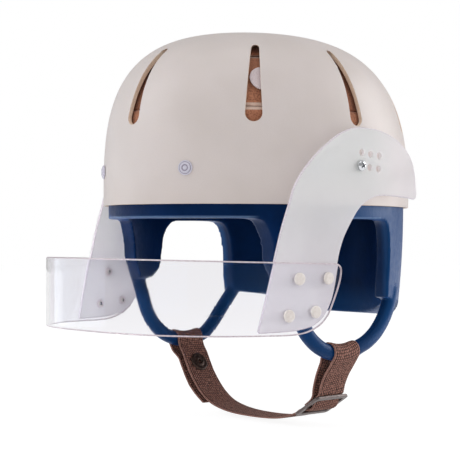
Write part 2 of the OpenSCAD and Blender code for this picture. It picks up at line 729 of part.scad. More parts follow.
// The slide's own frame: u runs up along the webbing, n points away from the wearer
slide_centre = [loop_x - 18.5, -loop_drop - 37.5];
slide_slope = 32.5;
function on_slide(u, n) = slide_centre + u * [cos(slide_slope), sin(slide_slope)] + n * [sin(slide_slope), -cos(slide_slope)];
slide_pitch = (slide_len - slide_bar) / 2;
web_off = slide_t / 2 + web_t / 2 + 0.25;
threading = [for (q = [[-slide_pitch - 3.5, -web_off - 0.1], [-slide_pitch - 1, -web_off],
                       [-slide_pitch + slide_bar / 2 + 0.4, -web_off], [-slide_pitch / 2, 0],
                       [-slide_bar / 2 - 0.5, web_off], [slide_bar / 2 + 0.5, web_off], [slide_pitch / 2, 0],
                       [slide_pitch - slide_bar / 2 - 0.4, -web_off], [slide_pitch + 0.8, -web_off - 0.15]])
    on_slide(q.x, q.y)];

// Snap position on the inner layer, and the direction of the webbing there
snap_spot = [16.1 - loop_x, -loop_drop - 17.2];
snap_dir = [0.514, -0.857];
snap_normal = [0.857, 0.514];
snap_stack = 4.4;
layer_gap = web_t + snap_stack;
snap_half = 7.5;

tail_spot = snap_spot - layer_gap * snap_normal;
// The run under the chin, as shares of the loops' distance and heights above its lowest point
chin_run = [[0.52, 3.9], [0.38, 1.4], [0.2, 0.2], [0, 0], [-0.166, 0.5], [-0.32, 2.1], [-0.473, 5.6],
            [-0.604, 12.3], [-0.704, 20.6]];
chin_path = concat(
    curve([on_slide(-3.5, -web_off - 0.6), by_fold(1, -16.2, -31.5), by_fold(1, -14.9, -24.5),
           by_fold(1, -12.2, -15.5), by_fold(1, -7.9, -7)], 3),
    [for (a = [180 : -15 : -45]) fold_at(1, a)],
    curve([by_fold(1, 0.6, -9.4), by_fold(1, -4.5, -16), by_fold(1, -7.9, -23)], 3),
    curve(concat([for (i = [len(threading) - 1 : -1 : 0]) threading[i]],
                 [for (p = chin_run) [p.x * loop_x, -chin_drop + p.y]]), 3),
    [snap_spot + snap_half * snap_dir, snap_spot, snap_spot - snap_half * snap_dir],
    curve([by_fold(-1, -8.5, -6.5), by_fold(-1, -6.7, -3.1)], 2),
    [for (a = [0 : 15 : 225]) fold_at(-1, a)],
    [by_fold(-1, 1.1, -8.9)],
    [tail_spot - snap_half * snap_dir, tail_spot, tail_spot + snap_half * snap_dir],
    curve([by_fold(-1, -19.5, -33.5), by_fold(-1, -27, -39.9), by_fold(-1, -36, -45.7)], 3));

module chin_webbing() color([0.42, 0.28, 0.24]) webbing(chin_path);

// Places children on the inner layer at the snap, with +Z towards the wearer
module at_snap(h) {
    c = snap_spot + h * snap_normal;
    translate([c.x, 0, c.y])
        rotate([0, atan2(snap_normal.x, snap_normal.y), 0])
            children();
}
module snap_cap() {
    color([0.2, 0.15, 0.13])
        at_snap(web_t / 2 + seat)
            rotate_extrude()
                polygon([[2, 0], [snap_d / 2, 0], [snap_d / 2, 0.7], [snap_d / 2 - 1, 1.4], [snap_d / 2 - 2.4, 1.2],
                         [4.4, 1.5], [3, 2], [2.2, 1.6]]);
}
module snap_socket() {
    color([0.22, 0.17, 0.15])
        at_snap(-web_t / 2 - seat - 2.4)
            difference() {
                cylinder(h = 2.4, d = snap_d * 0.72);
                translate([0, 0, -1])
                    cylinder(h = 3, d = 5.2);
            }
}
module snap_stud() {
    color([0.25, 0.2, 0.18])
        at_snap(-web_t / 2 - snap_stack + seat)
            rotate_extrude()
                polygon([[0, 0], [snap_d * 0.36, 0], [snap_d * 0.36, 1], [2.4, 1.5], [2.4, 3.2], [1.8, 3.6], [0, 3.6]]);
}
module snap_post() {
    color([0.2, 0.15, 0.13])
        at_snap(-web_t * 1.5 - snap_stack - seat - 1.4)
            rotate_extrude()
                polygon([[0, 0], [snap_d / 2 - 2, 0], [snap_d / 2, 0.6], [snap_d / 2, 1.4], [0, 1.4]]);
}

// Three-bar slide as one flat frame
module strap_slide() {
    inner_w = web_w + 1.2;
    leg = 3.2;
    color([0.5, 0.47, 0.47])
        translate([slide_centre.x, 0, slide_centre.y])
            rotate([0, -slide_slope, 0])
                difference() {
                    linear_extrude(slide_t, center = true)
                        rounded_box(slide_len, inner_w + 2 * leg, 3);
                    for (s = [-1, 1])
                        translate([s * slide_pitch / 2, 0, 0])
                            cube([slide_pitch - slide_bar, inner_w, 10], center = true);
                }
}
module rounded_box(l, w, r) {
    polygon([for (c = [[1, 1, 0], [-1, 1, 90], [-1, -1, 180], [1, -1, 270]], a = [0 : 15 : 90])
        [c.x * (l / 2 - r) + r * cos(c.z + a), c.y * (w / 2 - r) + r * sin(c.z + a)]]);
}

shell_band();
shell_crown();
foam_liner();
rim_pad();
crown_pad();
crown_disc();
hook_dots();
shell_rivets();
rivet_washers();
ear_loop_left();
ear_loop_right();
side_arm_left();
side_arm_right();
face_bar();
bar_rivets_left();
bar_rivets_right();
rivet_backs_left();
rivet_backs_right();
pivot_screw_left();
pivot_screw_right();
pivot_spacer_left();
pivot_spacer_right();
pivot_nut_left();
pivot_nut_right();
rear_standoffs();
chin_webbing();
snap_cap();
snap_socket();
snap_stud();
snap_post();
strap_slide();
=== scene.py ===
import math
import bpy
import bmesh
import numpy as np
from mathutils import Matrix, Vector


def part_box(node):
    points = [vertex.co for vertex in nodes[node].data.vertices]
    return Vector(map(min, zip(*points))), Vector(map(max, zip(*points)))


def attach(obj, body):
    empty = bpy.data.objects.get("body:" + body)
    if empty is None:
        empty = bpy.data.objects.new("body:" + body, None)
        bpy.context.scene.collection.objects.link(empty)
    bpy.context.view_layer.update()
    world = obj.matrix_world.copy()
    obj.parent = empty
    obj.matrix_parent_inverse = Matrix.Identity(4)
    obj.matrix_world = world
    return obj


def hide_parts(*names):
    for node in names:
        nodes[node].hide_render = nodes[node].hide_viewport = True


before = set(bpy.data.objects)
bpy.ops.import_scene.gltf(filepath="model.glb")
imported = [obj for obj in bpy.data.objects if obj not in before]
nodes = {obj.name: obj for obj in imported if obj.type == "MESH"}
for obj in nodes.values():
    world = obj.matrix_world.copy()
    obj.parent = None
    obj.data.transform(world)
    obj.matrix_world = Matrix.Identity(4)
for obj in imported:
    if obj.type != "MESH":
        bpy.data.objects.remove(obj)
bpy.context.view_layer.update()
MM = 0.001

# helpers


def rad(a):
    return math.radians(a)


def lin(r, g, b):
    """Linear colour of a screen colour from 0 to 255."""
    def one(c):
        c = c / 255
        return c / 12.92 if c <= 0.04045 else ((c + 0.055) / 1.055) ** 2.4
    return (one(r), one(g), one(b), 1.0)


def link(o):
    bpy.context.scene.collection.objects.link(o)
    return o


def mesh(name, verts, faces, mats=(), mat_index=None, smooth=True):
    """A mesh object from vertices in millimetres."""
    me = bpy.data.meshes.new(name)
    me.from_pydata([tuple(float(c) * MM for c in v) for v in verts], [], [tuple(f) for f in faces])
    me.update()
    for m in mats:
        me.materials.append(m)
    if mat_index is not None:
        me.polygons.foreach_set("material_index", mat_index)
    me.polygons.foreach_set("use_smooth", [smooth] * len(me.polygons))
    return link(bpy.data.objects.new(name, me))


def fix_normals(o):
    bm = bmesh.new()
    bm.from_mesh(o.data)
    bmesh.ops.recalc_face_normals(bm, faces=bm.faces)
    bm.to_mesh(o.data)
    bm.free()
    return o


def bake(o):
    """Applies the modifiers of o."""
    dg = bpy.context.evaluated_depsgraph_get()
    dg.update()
    me = bpy.data.meshes.new_from_object(o.evaluated_get(dg))
    old = o.data
    o.modifiers.clear()
    o.data = me
    me.name = old.name
    bpy.data.meshes.remove(old)
    return o


def cut(o, cutter, operation="DIFFERENCE"):
    m = o.modifiers.new("cut", "BOOLEAN")
    m.object = cutter
    m.operation = operation
    m.solver = "EXACT"
    m.material_mode = "TRANSFER"
    bake(o)
    bpy.data.objects.remove(cutter)
    return o


def bevel(o, width, segments=2, angle=35, merge=0.0):
    """Rounds edges. merge first closes the very short edges a cut leaves, which would stop the rounding."""
    if merge:
        weld(o, merge)
    m = o.modifiers.new("bevel", "BEVEL")
    m.width = width * MM
    m.segments = segments
    m.limit_method = "ANGLE"
    m.angle_limit = rad(angle)
    m.use_clamp_overlap = not merge
    m.miter_outer = "MITER_ARC"
    return bake(o)


def weld(o, dist=0.001):
    bm = bmesh.new()
    bm.from_mesh(o.data)
    bmesh.ops.remove_doubles(bm, verts=bm.verts, dist=dist * MM)
    bmesh.ops.dissolve_degenerate(bm, edges=bm.edges, dist=dist * MM)
    bm.to_mesh(o.data)
    bm.free()
    return o


def sharpen(o, angle=40):
    """Smooth shading with hard edges above an angle."""
    bm = bmesh.new()
    bm.from_mesh(o.data)
    for e in bm.edges:
        e.smooth = len(e.link_faces) == 2 and e.calc_face_angle(0) < rad(angle)
    for f in bm.faces:
        f.smooth = True
    bm.to_mesh(o.data)
    bm.free()
    return o


def weighted(o):
    """Lets the large faces rule the shading, so that flat sheets stay flat up to their bevels."""
    m = o.modifiers.new("weighted", "WEIGHTED_NORMAL")
    m.keep_sharp = True
    m.weight = 100
    return o


def join(name, parts):
    """Several mesh objects as one, materials kept."""
    bm = bmesh.new()
    mats = []
    for p in parts:
        offset = []
        for m in p.data.materials:
            if m not in mats:
                mats.append(m)
            offset.append(mats.index(m))
        before = len(bm.faces)
        me = p.data.copy()
        me.transform(p.matrix_world)
        bm.from_mesh(me)
        bm.faces.ensure_lookup_table()
        for f in bm.faces[before:]:
            f.material_index = offset[f.material_index] if offset else 0
        bpy.data.meshes.remove(me)
    me = bpy.data.meshes.new(name)
    bm.to_mesh(me)
    bm.free()
    for m in mats:
        me.materials.append(m)
    for p in parts:
        bpy.data.objects.remove(p)
    return link(bpy.data.objects.new(name, me))


def curve(points, n):
    """Smooth curve through points, n steps to a span, as the part's source has it."""
    p = [np.array(q, float) for q in points]
    out = []
    for i in range(len(p) - 1):
        a, b, c, d = p[max(i - 1, 0)], p[i], p[i + 1], p[min(i + 2, len(p) - 1)]
        for k in range(n):
            t = k / n
            out.append(0.5 * (2 * b + (c - a) * t + (2 * a - 5 * b + 4 * c - d) * t * t
                              + (3 * b - a - 3 * c + d) * t ** 3))
    out.append(p[-1])
    return out


def prism_x(name, outline, x0, x1, mats=()):
    """A closed outline of [y, z] points, extruded along X."""
    n = len(outline)
    verts = [(x, q[0], q[1]) for x in (x0, x1) for q in outline]
    faces = [list(range(n))[::-1], [n + i for i in range(n)]]
    faces += [(i, (i + 1) % n, n + (i + 1) % n, n + i) for i in range(n)]
    return fix_normals(mesh(name, verts, faces, mats))


def lathe(name, profile, mats, segments=48, mat_of=None):
    """A profile of (radius, height) turned round Z. mat_of gives the material of each stretch."""
    verts, faces, index = [], [], []
    rows = []
    for r, h in profile:
        if r < 1e-6:
            rows.append([len(verts)])
            verts.append((0, 0, h))
        else:
            rows.append(list(range(len(verts), len(verts) + segments)))
            verts += [(r * math.cos(2 * math.pi * k / segments), r * math.sin(2 * math.pi * k / segments), h)
                      for k in range(segments)]
    for i in range(len(rows) - 1):
        a, b = rows[i], rows[i + 1]
        for k in range(segments):
            j = (k + 1) % segments
            if len(a) == 1 and len(b) == 1:
                continue
            if len(a) == 1:
                faces.append((a[0], b[k], b[j]))
            elif len(b) == 1:
                faces.append((a[k], a[j], b[0]))
            else:
                faces.append((a[k], a[j], b[j], b[k]))
            index.append(mat_of[i] if mat_of else 0)
    return fix_normals(mesh(name, verts, faces, mats, index))


def place(o, at, toward, spin=0.0):
    """Bakes a placement in: local +Z goes to the direction toward, at a point in millimetres."""
    z = Vector(toward).normalized()
    q = Vector((0, 0, 1)).rotation_difference(z)
    m = Matrix.Translation(Vector(at) * MM) @ q.to_matrix().to_4x4() @ Matrix.Rotation(rad(spin), 4, "Z")
    o.data.transform(m)
    return o


def mirrored(o, name):
    """A copy of o on the other side of the YZ plane."""
    me = o.data.copy()
    me.name = name
    me.transform(Matrix.Scale(-1, 4, (1, 0, 0)))
    me.flip_normals()
    c = link(bpy.data.objects.new(name, me))
    for m in o.modifiers:
        if m.type == "WEIGHTED_NORMAL":
            weighted(c)
    return c


# materials


class Finish:
    """A material with its nodes close at hand. Lengths are in millimetres."""

    def __init__(self, name, color, rough, **sockets):
        self.mat = bpy.data.materials.new(name)
        self.mat.use_nodes = True
        self.tree = self.mat.node_tree
        self.shader = self.tree.nodes["Principled BSDF"]
        self.shader.inputs["Base Color"].default_value = color
        self.shader.inputs["Roughness"].default_value = rough
        for key, value in sockets.items():
            self.shader.inputs[key.replace("_", " ")].default_value = value
        self.coord = self.tree.nodes.new("ShaderNodeTexCoord")
        self.height = None

    def add(self, kind, **inputs):
        n = self.tree.nodes.new("ShaderNode" + kind)
        for key, value in inputs.items():
            s = n.inputs[key.replace("_", " ")] if isinstance(key, str) else n.inputs[key]
            if hasattr(value, "is_output"):
                self.tree.links.new(value, s)
            else:
                s.default_value = value
        return n

    def wire(self, a, b):
        self.tree.links.new(a, b)

    def where(self, uv=False, scale=(1, 1, 1), turn=(0, 0, 0)):
        """Coordinates in millimetres."""
        m = self.add("Mapping")
        m.inputs["Scale"].default_value = tuple(1000 * s if not uv else s for s in scale)
        m.inputs["Rotation"].default_value = tuple(rad(t) for t in turn)
        self.wire(self.coord.outputs["UV" if uv else "Object"], m.inputs["Vector"])
        return m.outputs["Vector"]

    def noise(self, size, detail=2.0, rough=0.5, vector=None, distortion=0.0):
        n = self.add("TexNoise", Scale=1 / size, Detail=detail, Roughness=rough, Distortion=distortion)
        self.wire(vector or self.where(), n.inputs["Vector"])
        return n.outputs["Fac"]

    def cells(self, size, feature="F1", vector=None, randomness=1.0):
        n = self.add("TexVoronoi", Scale=1 / size, Randomness=randomness)
        n.feature = feature
        self.wire(vector or self.where(), n.inputs["Vector"])
        return n.outputs["Distance"]

    def ramp(self, value, low, high, to_low=0.0, to_high=1.0):
        n = self.add("MapRange")
        for key, v in (("From Min", low), ("From Max", high), ("To Min", to_low), ("To Max", to_high)):
            n.inputs[key].default_value = v
        self.wire(value, n.inputs["Value"])
        return n.outputs["Result"]

    def math(self, operation, a, b=0.0):
        n = self.add("Math")
        n.operation = operation
        for s, v in zip(n.inputs, (a, b)):
            if hasattr(v, "is_output"):
                self.wire(v, s)
            else:
                s.default_value = v
        return n.outputs[0]

    def mix(self, fac, a, b, blend="MIX"):
        n = self.tree.nodes.new("ShaderNodeMix")
        n.data_type = "RGBA"
        n.blend_type = blend
        for s, v in ((n.inputs["Factor"], fac), (n.inputs[6], a), (n.inputs[7], b)):
            if hasattr(v, "is_output"):
                self.wire(v, s)
            else:
                s.default_value = v
        return n.outputs[2]

    def colour(self, out):
        self.wire(out, self.shader.inputs["Base Color"])
        return self

    def roughness(self, value, low, high):
        self.wire(self.ramp(value, 0.3, 0.7, low, high), self.shader.inputs["Roughness"])
        return self

    def bump(self, value, depth, strength=1.0):
        """Adds relief. depth is in millimetres."""
        b = self.add("Bump", Strength=strength, Distance=depth * MM, Height=value)
        if self.height is not None:
            self.wire(self.height, b.inputs["Normal"])
        self.height = b.outputs["Normal"]
        self.wire(self.height, self.shader.inputs["Normal"])
        return self


def axis_of(f, out, name):
    n = f.add("SeparateXYZ")
    f.wire(out, n.inputs["Vector"])
    return n.outputs[name]


def make_shell():
    f = Finish("shell_plastic", lin(220, 211, 208), 0.36)
    f.shader.inputs["Specular IOR Level"].default_value = 0.42
    f.shader.inputs["Subsurface Weight"].default_value = 0.08
    f.shader.inputs["Subsurface Scale"].default_value = 0.002
    f.shader.inputs["Subsurface Radius"].default_value = (1.0, 0.75, 0.5)
    broad = f.noise(46, 2, 0.5)
    fine = f.noise(0.55, 3, 0.65)
    speck = f.ramp(f.cells(3.1), 0.0, 0.12, 1.0, 0.0)
    tone = f.mix(f.ramp(broad, 0.35, 0.65), lin(217, 207, 203), lin(224, 214, 211))
    tone = f.mix(f.math("MULTIPLY", f.ramp(fine, 0.35, 0.75), 0.35), tone, lin(211, 199, 194))
    tone = f.mix(f.math("MULTIPLY", speck, 0.18), tone, lin(196, 182, 174))
    height = axis_of(f, f.where(), "Z")
    tone = f.mix(f.ramp(height, 2, 22, 0.22, 0.0), tone, lin(205, 191, 183))
    f.colour(tone)
    f.roughness(f.noise(2.4, 4, 0.6), 0.30, 0.45)
    f.bump(f.noise(7.5, 2, 0.5), 0.05)
    f.bump(fine, 0.016)
    return f.mat


def make_shell_edge():
    f = Finish("shell_cut_edge", lin(222, 206, 190), 0.62)
    v = f.where(scale=(1, 1, 1))
    n = f.noise(1.1, 4, 0.6, v)
    stripes = f.add("TexWave", Scale=1.5, Distortion=1.6, Detail=2.0)
    f.wire(f.where(scale=(0.08, 0.08, 1)), stripes.inputs["Vector"])
    tone = f.mix(f.ramp(n, 0.3, 0.7), lin(230, 206, 182), lin(246, 230, 214))
    tone = f.mix(f.math("MULTIPLY", stripes.outputs["Fac"], 0.3), tone, lin(218, 188, 160))
    f.colour(tone)
    f.bump(n, 0.05)
    f.bump(stripes.outputs["Fac"], 0.03)
    return f.mat


HALF_W, HALF_L, CROWN, WALL = 102.6, 121.6, 126.0, 3.0
TEMPLE, NAPE, BROW = 54.0, 82.0, 9.5


def make_liner():
    f = Finish("dipped_vinyl", lin(3, 27, 66), 0.42)
    f.shader.inputs["Specular IOR Level"].default_value = 0.3
    f.shader.inputs["Specular Tint"].default_value = lin(110, 165, 240)
    f.shader.inputs["Sheen Weight"].default_value = 0.35
    f.shader.inputs["Sheen Roughness"].default_value = 0.4
    f.shader.inputs["Sheen Tint"].default_value = lin(70, 125, 215)
    broad = f.noise(26, 3, 0.55)
    skin = f.noise(1.9, 3, 0.55, distortion=0.4)
    pores = f.ramp(f.cells(2.3), 0.02, 0.2, 1.0, 0.0)
    tone = f.mix(f.ramp(broad, 0.35, 0.65), lin(0, 21, 56), lin(2, 29, 70))
    tone = f.mix(f.math("MULTIPLY", pores, 0.25), tone, lin(2, 13, 36))
    x, y, z = (axis_of(f, f.where(), c) for c in "XYZ")
    # Painted light: a lighter blue low down, on the ear loops and the lower nape, where they catch the light.
    tone = f.mix(f.ramp(z, -58, -74, 0.0, 0.65), tone, lin(18, 58, 104))
    wide, deep = f.math("DIVIDE", x, HALF_W - WALL), f.math("DIVIDE", y, HALF_L - WALL)
    out = f.math("ADD", f.math("MULTIPLY", wide, wide), f.math("MULTIPLY", deep, deep))
    # Painted light: the outer faces of the sides, from the temples back, turn a lighter blue, as if the side lamp's
    # grazing sheen lit them.
    flank = f.math("MULTIPLY", f.ramp(y, -45, -12), f.ramp(f.math("ABSOLUTE", x), 58, 84))
    flank_light = f.math("MULTIPLY", f.ramp(out, 0.83, 0.9, 0.0, 0.8), flank)
    tone = f.mix(flank_light, tone, lin(22, 66, 116))
    # Painted highlight: a pale line along the lower lip of the brow band, at the front and over the ear openings, on
    # the outer face.
    over_ear = f.math("ABSOLUTE", f.math("SUBTRACT", y, 12))
    level = f.math("MAXIMUM", f.ramp(y, -78, -72, 1.0, 0.0), f.ramp(over_ear, 15, 20, 1.0, 0.0))
    lip = f.ramp(f.math("ABSOLUTE", f.math("ADD", z, BROW - 0.8)), 0.5, 1.0, 0.6, 0.0)
    lip = f.math("MULTIPLY", f.math("MULTIPLY", lip, level), f.ramp(out, 0.86, 0.93))
    tone = f.mix(lip, tone, lin(104, 130, 166))
    f.colour(tone)
    f.roughness(f.noise(5.5, 3, 0.6), 0.28, 0.44)
    f.bump(broad, 0.35)
    f.bump(skin, 0.11)
    f.bump(f.noise(0.42, 2, 0.6), 0.014)
    return f.mat


PAD_SEAM, DISC_Z = 65.9, 102.0


def make_pad():
    f = Finish("brown_foam", lin(150, 98, 74), 0.86)
    cell = f.cells(1.25)
    fine = f.cells(0.5)
    tone = f.mix(f.ramp(cell, 0.05, 0.55), lin(122, 74, 54), lin(198, 136, 104))
    tone = f.mix(f.ramp(f.noise(9, 3, 0.6), 0.35, 0.7, 0.0, 0.55), tone, lin(150, 92, 68))
    x, y, z = (axis_of(f, f.where(), c) for c in "XYZ")
    aside = f.math("SUBTRACT", f.math("ABSOLUTE", x), f.math("ABSOLUTE", y))
    corner = f.ramp(f.math("ABSOLUTE", aside), 24, 40, 0.85, 0.0)
    for seam, half in ((PAD_SEAM, 2.3), (DISC_Z, 1.0)):
        near = f.math("ABSOLUTE", f.math("SUBTRACT", z, seam))
        pale = f.math("MULTIPLY", f.ramp(near, half, half + 0.4, 1.0, 0.0), corner)
        tone = f.mix(pale, tone, lin(232, 208, 194))
    f.colour(tone)
    f.shader.inputs["Sheen Weight"].default_value = 0.2
    f.bump(cell, 0.22)
    f.bump(fine, 0.08)
    return f.mat


def make_hook():
    f = Finish("hook_fastener", lin(228, 226, 221), 0.8)
    hooks = f.cells(0.75, randomness=0.35)
    tone = f.mix(f.ramp(hooks, 0.1, 0.6), lin(255, 247, 251), lin(226, 212, 218))
    f.colour(tone)
    f.bump(hooks, 0.4)
    f.bump(f.noise(0.3, 2, 0.6), 0.08)
    return f.mat


def make_arm():
    f = Finish("frosted_sheet", lin(233, 231, 236), 0.42)
    f.shader.inputs["Transmission Weight"].default_value = 0.32
    f.shader.inputs["IOR"].default_value = 1.42
    f.shader.inputs["Specular IOR Level"].default_value = 0.3
    f.shader.inputs["Subsurface Weight"].default_value = 0.75
    f.shader.inputs["Subsurface Scale"].default_value = 0.009
    f.shader.inputs["Subsurface Radius"].default_value = (1.0, 1.0, 1.0)
    cloud = f.noise(34, 3, 0.55)
    frost = f.noise(0.5, 3, 0.7)
    tone = f.mix(f.ramp(cloud, 0.35, 0.65), lin(239, 234, 237), lin(244, 240, 242))
    tone = f.mix(f.math("MULTIPLY", f.ramp(frost, 0.4, 0.8), 0.2), tone, lin(231, 226, 231))
    y, z = (axis_of(f, f.where(), c) for c in "YZ")
    high = f.math("MULTIPLY", f.ramp(z, -30, 25, 0.0, 0.8), f.ramp(y, 8, 36, 1.0, 0.0))
    tone = f.mix(high, tone, lin(229, 232, 232))
    scratch = f.noise(1.4, 2, 0.5, f.where(scale=(1, 0.05, 1), turn=(18, 0, 0)))
    f.colour(tone)
    f.roughness(frost, 0.44, 0.56)
    f.bump(frost, 0.012)
    f.bump(f.ramp(scratch, 0.62, 0.7), 0.006)
    return f.mat


def make_arm_edge():
    f = Finish("frosted_sheet_edge", lin(222, 213, 222), 0.3)
    f.shader.inputs["Subsurface Weight"].default_value = 0.5
    f.shader.inputs["Subsurface Scale"].default_value = 0.004
    f.shader.inputs["Subsurface Radius"].default_value = (1.0, 1.0, 1.0)
    n = f.noise(0.9, 3, 0.6, f.where(scale=(1, 1, 1)))
    f.colour(f.mix(f.ramp(n, 0.35, 0.65), lin(214, 202, 213), lin(232, 226, 232)))
    f.roughness(n, 0.22, 0.4)
    f.bump(n, 0.02)
    return f.mat


def make_bar():
    f = Finish("clear_sheet", lin(237, 236, 239), 0.03)
    f.shader.inputs["Transmission Weight"].default_value = 1.0
    f.shader.inputs["IOR"].default_value = 1.46
    f.shader.inputs["Specular Tint"].default_value = (0.03, 0.08, 0.18, 1)
    haze = f.noise(24, 3, 0.6)
    scuff = f.noise(0.9, 2, 0.5, f.where(scale=(0.05, 0.05, 1), turn=(8, 0, 0)))
    f.wire(f.ramp(f.math("MAXIMUM", f.ramp(haze, 0.45, 0.75, 0.0, 0.6), f.ramp(scuff, 0.66, 0.74)), 0, 1, 0.015, 0.10),
           f.shader.inputs["Roughness"])
    f.bump(f.noise(30, 2, 0.5), 0.04)
    return f.mat


def make_bar_edge():
    f = Finish("clear_sheet_edge", lin(218, 204, 212), 0.28)
    f.shader.inputs["Transmission Weight"].default_value = 0.2
    f.shader.inputs["IOR"].default_value = 1.46
    n = f.noise(1.6, 3, 0.6, f.where(scale=(1, 1, 0.3)))
    f.colour(f.mix(f.ramp(n, 0.35, 0.65), lin(198, 182, 190), lin(232, 222, 227)))
    f.bump(n, 0.02)
    return f.mat


def make_webbing():
    f = Finish("ribbed_webbing", lin(104, 70, 60), 0.82)
    f.shader.inputs["Sheen Weight"].default_value = 0.15
    f.shader.inputs["Sheen Roughness"].default_value = 0.4
    f.shader.inputs["Sheen Tint"].default_value = lin(196, 158, 140)
    u = f.where(uv=True)
    across, along = axis_of(f, u, "X"), axis_of(f, u, "Y")
    pitch, pick = 1.79, 1.9
    column = f.math("FLOOR", f.math("DIVIDE", across, pitch))
    ridge = f.math("ABSOLUTE", f.math("SINE", f.math("MULTIPLY", across, math.pi / pitch)))
    row = f.math("ADD", f.math("MULTIPLY", along, 2 * math.pi / pick), f.math("MULTIPLY", column, 0.9))
    step = f.math("SINE", row)
    rib = f.math("MULTIPLY", f.ramp(ridge, 0.3, 0.75), f.ramp(step, -0.7, 0.1, 0.3, 1.0))
    fibre = f.noise(0.42, 3, 0.7)
    fleck = f.noise(1.7, 2, 0.6, f.where(uv=True, scale=(1, 0.6, 1)))
    # The weave's ribbed pattern, coloured with painted shade: near black in the grooves between the ribs, light on
    # their tops.
    tone = f.mix(f.ramp(rib, 0.1, 0.8), lin(30, 13, 10), lin(182, 124, 108))
    tone = f.mix(f.ramp(fleck, 0.55, 0.65, 0.0, 0.7), tone, lin(182, 134, 120))
    tone = f.mix(f.ramp(fleck, 0.35, 0.44, 0.7, 0.0), tone, lin(28, 13, 10))
    tone = f.mix(f.math("MULTIPLY", f.ramp(fibre, 0.45, 0.7), 0.3), tone, lin(150, 108, 96))
    edge = f.math("ABSOLUTE", f.math("SUBTRACT", across, 12.5))
    tone = f.mix(f.ramp(edge, 11.2, 11.8, 0.0, 0.75), tone, lin(160, 116, 104))
    f.colour(tone)
    f.bump(rib, 0.7)
    f.bump(f.ramp(edge, 10.9, 11.3), 0.2)
    f.bump(fibre, 0.12)
    return f.mat


def make_thread():
    f = Finish("brown_thread", lin(92, 60, 52), 0.7)
    n = f.noise(0.3, 2, 0.6)
    f.colour(f.mix(n, lin(66, 42, 36), lin(128, 92, 80)))
    f.bump(n, 0.05)
    return f.mat


def make_metal(name, low, high, rough, wear=None):
    f = Finish(name, high, rough[0], Metallic=1.0)
    streak = f.noise(0.5, 3, 0.6, f.where(scale=(1, 0.08, 1)))
    tone = f.mix(f.ramp(streak, 0.3, 0.7), low, high)
    if wear:
        tone = f.mix(f.ramp(f.noise(3.5, 4, 0.7), 0.55, 0.75, 0.0, 0.7), tone, wear)
    f.colour(tone)
    f.roughness(f.noise(1.6, 4, 0.65), *rough)
    f.bump(streak, 0.012)
    return f.mat


def make_snap():
    f = Finish("dark_snap", lin(64, 48, 42), 0.42, Metallic=0.6)
    n = f.noise(2.2, 4, 0.65)
    f.colour(f.mix(f.ramp(n, 0.35, 0.75), lin(54, 39, 34), lin(92, 72, 63)))
    f.roughness(n, 0.36, 0.54)
    f.bump(f.noise(0.5, 2, 0.5), 0.012)
    return f.mat


def make_plastic(name, low, high, rough, coat=0.0, subsurface=0.15, grain=0.7):
    f = Finish(name, high, rough[0])
    f.shader.inputs["Coat Weight"].default_value = coat
    f.shader.inputs["Subsurface Weight"].default_value = subsurface
    f.shader.inputs["Subsurface Scale"].default_value = 0.0015
    f.shader.inputs["Subsurface Radius"].default_value = (1.0, 1.0, 1.0)
    n = f.noise(grain, 3, 0.6)
    f.colour(f.mix(f.ramp(n, 0.3, 0.7), low, high))
    f.roughness(f.noise(2.0, 3, 0.6), *rough)
    f.bump(n, 0.015)
    return f.mat


def make_stage():
    f = Finish("pale_floor", (0.86, 0.86, 0.86, 1), 0.7)
    f.colour(f.mix(f.noise(60, 2, 0.5), (0.85, 0.85, 0.85, 1), (0.87, 0.87, 0.87, 1)))
    rays = f.add("LightPath")
    seen = f.math("MAXIMUM", rays.outputs["Is Camera Ray"],
                  f.math("MAXIMUM", rays.outputs["Is Glossy Ray"], rays.outputs["Is Transmission Ray"]))
    glow = f.add("Emission")
    glow.inputs["Color"].default_value = (1, 1, 1, 1)
    glow.inputs["Strength"].default_value = 0.9
    faint = f.add("BsdfDiffuse")
    faint.inputs["Color"].default_value = (0.24, 0.24, 0.24, 1)
    both = f.add("AddShader")
    f.wire(glow.outputs[0], both.inputs[0])
    f.wire(faint.outputs[0], both.inputs[1])
    mixer = f.add("MixShader")
    f.wire(seen, mixer.inputs[0])
    f.wire(f.shader.outputs[0], mixer.inputs[1])
    f.wire(both.outputs[0], mixer.inputs[2])
    f.wire(mixer.outputs[0], f.tree.nodes["Material Output"].inputs["Surface"])
    return f.mat


M_SHELL = make_shell()
M_EDGE = make_shell_edge()
M_LINER = make_liner()
M_PAD = make_pad()
M_HOOK = make_hook()
M_ARM = make_arm()
M_ARM_EDGE = make_arm_edge()
# Painted light: the hole walls are an opaque white, paler than the sheet, which lightens the shade that falls in the
# holes.
M_HOLE_LIGHT = make_plastic("hole_wall_lit", lin(242, 236, 238), lin(250, 246, 247), (0.5, 0.65))
M_BAR = make_bar()
M_BAR_EDGE = make_bar_edge()
M_WEB = make_webbing()
M_THREAD = make_thread()
M_SLIDE = make_metal("grey_slide_metal", lin(92, 84, 83), lin(132, 122, 120), (0.34, 0.5), lin(78, 70, 68))
M_CHROME = make_metal("bright_screw", lin(198, 200, 204), lin(228, 229, 232), (0.1, 0.24))
# Painted shade: dark blue-grey walls in the screw heads' cross slots, where shade falls.
M_SLOT_SHADE = make_metal("screw_slot_shade", lin(46, 60, 72), lin(74, 88, 100), (0.3, 0.5))
M_SNAP = make_snap()
M_RIVET = make_plastic("lavender_rivet", lin(204, 200, 216), lin(220, 216, 228), (0.26, 0.4), 0.2)
